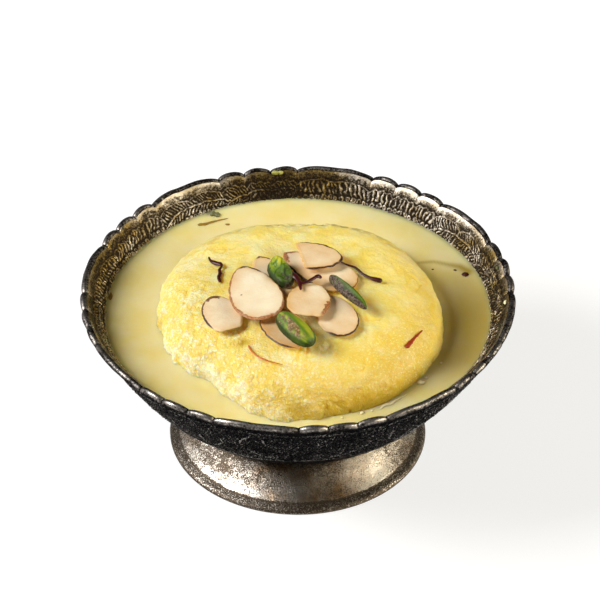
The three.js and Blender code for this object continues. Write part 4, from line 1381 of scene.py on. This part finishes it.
# %% Crumb pieces
crumbs = [lump(15.1, -37.9, 0, 0.3, 0.25, 0.15, 19), lump(-21.1, 39.3, 0.2, 0.9, 0.9, 0.7, 1),
          lump(-20.0, 38.8, 0.1, 0.8, 0.8, 0.6, 2), lump(47.8, 10.2, 5.2, 0.4, 0.7, 0.4, 4)]
rim_crumbs = [lump(-5.6, 49.0, 5.8, 0.9, 0.6, 0.55, 3), lump(-4.3, 49.2, 5.7, 0.6, 0.5, 0.45, 21)]
specks = [lump(40.4, 14.4, 0, 0.95, 0.9, 0.25, 5), lump(38.0, 16.2, 0, 0.4, 0.35, 0.15, 6),
          lump(32.6, 16.5, 0, 0.3, 0.25, 0.1, 7)]
froth = [lump(28.4, -27.2, 0.2, 0.9, 0.6, 0.3, 9), lump(29.7, -25.3, 0.1, 0.35, 0.3, 0.2, 10),
         lump(33.3, -19.8, 0.1, 0.3, 0.3, 0.15, 17), lump(14.6, -38.1, 0.1, 0.55, 0.5, 0.35, 11),
         lump(10.1, -39.7, 0.1, 0.35, 0.3, 0.2, 13), lump(16.9, -37.3, 0.1, 0.35, 0.3, 0.15, 18),
         lump(48.9, -3.6, 5.4, 0.5, 0.8, 0.3, 12),
         floating([(18.8, -36.7), (19.3, -35.9), (20.0, -35.1), (21.3, -34.8), (22.5, -33.4), (23.7, -32.5),
                   (25.0, -31.3)], 0.1, [0.5, 0.7, 0.9, 0.8, 0.4, 0.35, 0.2], 9, 0.5)]
sunk = [floating([(-24.5, 35.0), (-23.0, 35.1), (-20.6, 36.3), (-17.2, 37.6)], 0, [0.8, 1.3, 0.7, 0.5], 10,
                 0.25),
        lump(-44.8, 5.7, 0.1, 0.5, 1.6, 0.12, 16), lump(-17.4, 35.0, 0, 0.55, 0.4, 0.12, 14),
        lump(-24.0, 35.0, 0, 0.7, 0.55, 0.12, 15)]
for name, slot, grids, look in [
        ("pistachio_crumbs", "pistachio", crumbs, ("pistachio_crumb", "#33382a", "#8c8d5c", 0.5, 0.5)),
        ("pistachio_crumbs_rim", "pistachio", rim_crumbs,
         ("pistachio_crumb_pale", "#8a8a3c", "#c4c26c", 0.5, 0.6)),
        ("saffron_specks", "saffron", specks, ("saffron_speck", "#2e0d08", "#5c2412", 0.45, 0.6)),
        ("milk_froth_flecks", "milk", froth, ("milk_froth", "#f0e2a8", "#fff4d0", 0.4, 0.6)),
        ("saffron_thread_sunk", "saffron", sunk, ("sunk_saffron", "#6a4a12", "#b48f38", 0.3, 0.8))]:
    make_piece(name, [(points, {}) for points in grids], make_mottled(*look))

# %% [markdown]
# ## Floor and light
# The bowl stands on a plain pale floor. A large soft light from behind on the left does most of the work,
# as beside a window: it makes the curd glow, puts a streak on each lobe of the rim, and leaves the bowl's
# front dark. A weaker one from the right keeps the shadows open. The colours are shown as they are, with
# the Standard view.

# %% Floor
FLOOR_HALF = 4.0

floor_mesh = bpy.data.meshes.new("floor")
floor_mesh.from_pydata([(-FLOOR_HALF, -FLOOR_HALF, 0), (FLOOR_HALF, -FLOOR_HALF, 0),
                        (FLOOR_HALF, FLOOR_HALF, 0), (-FLOOR_HALF, FLOOR_HALF, 0)], [], [(0, 1, 2, 3)])
floor_material, floor_shader, _ = new_material("floor_paper")
connect(floor_material, floor_shader, {"Base Color": srgb("#9c9c9c"), "Roughness": 0.9,
                                       "Emission Color": (1, 1, 1, 1), "Emission Strength": 0.72})
floor_mesh.materials.append(floor_material)
floor = bpy.data.objects.new("floor", floor_mesh)
bpy.context.scene.collection.objects.link(floor)

# %% Lights
def soft_light(name, bearing, elevation, distance, width, height, power, colour):
    """A flat light of that width and height at a bearing and elevation in degrees, facing the bowl."""
    data = bpy.data.lights.new(name, "AREA")
    data.color = colour
    data.shape = "RECTANGLE"
    data.size = width
    data.size_y = height
    data.energy = power
    light = bpy.data.objects.new(name, data)
    turn, tilt = math.radians(bearing), math.radians(elevation)
    light.location = (distance * math.cos(tilt) * math.cos(turn), distance * math.cos(tilt) * math.sin(turn),
                      distance * math.sin(tilt) + 0.03)
    light.rotation_euler = (math.pi / 2 - tilt, 0, turn + math.pi / 2)
    bpy.context.scene.collection.objects.link(light)


soft_light("left_panel", 188, 38, 1.2, 0.5, 0.5, 19, (1, 1, 1))
soft_light("right_panel", -10, 20, 1.2, 1.1, 0.35, 16, (1, 0.93, 0.74))
world = bpy.data.worlds.new("room")
world.use_nodes = True
world.node_tree.nodes["Background"].inputs["Color"].default_value = (1, 1, 1, 1)
world.node_tree.nodes["Background"].inputs["Strength"].default_value = 0.03
bpy.context.scene.world = world
bpy.context.scene.view_settings.view_transform = "Standard"
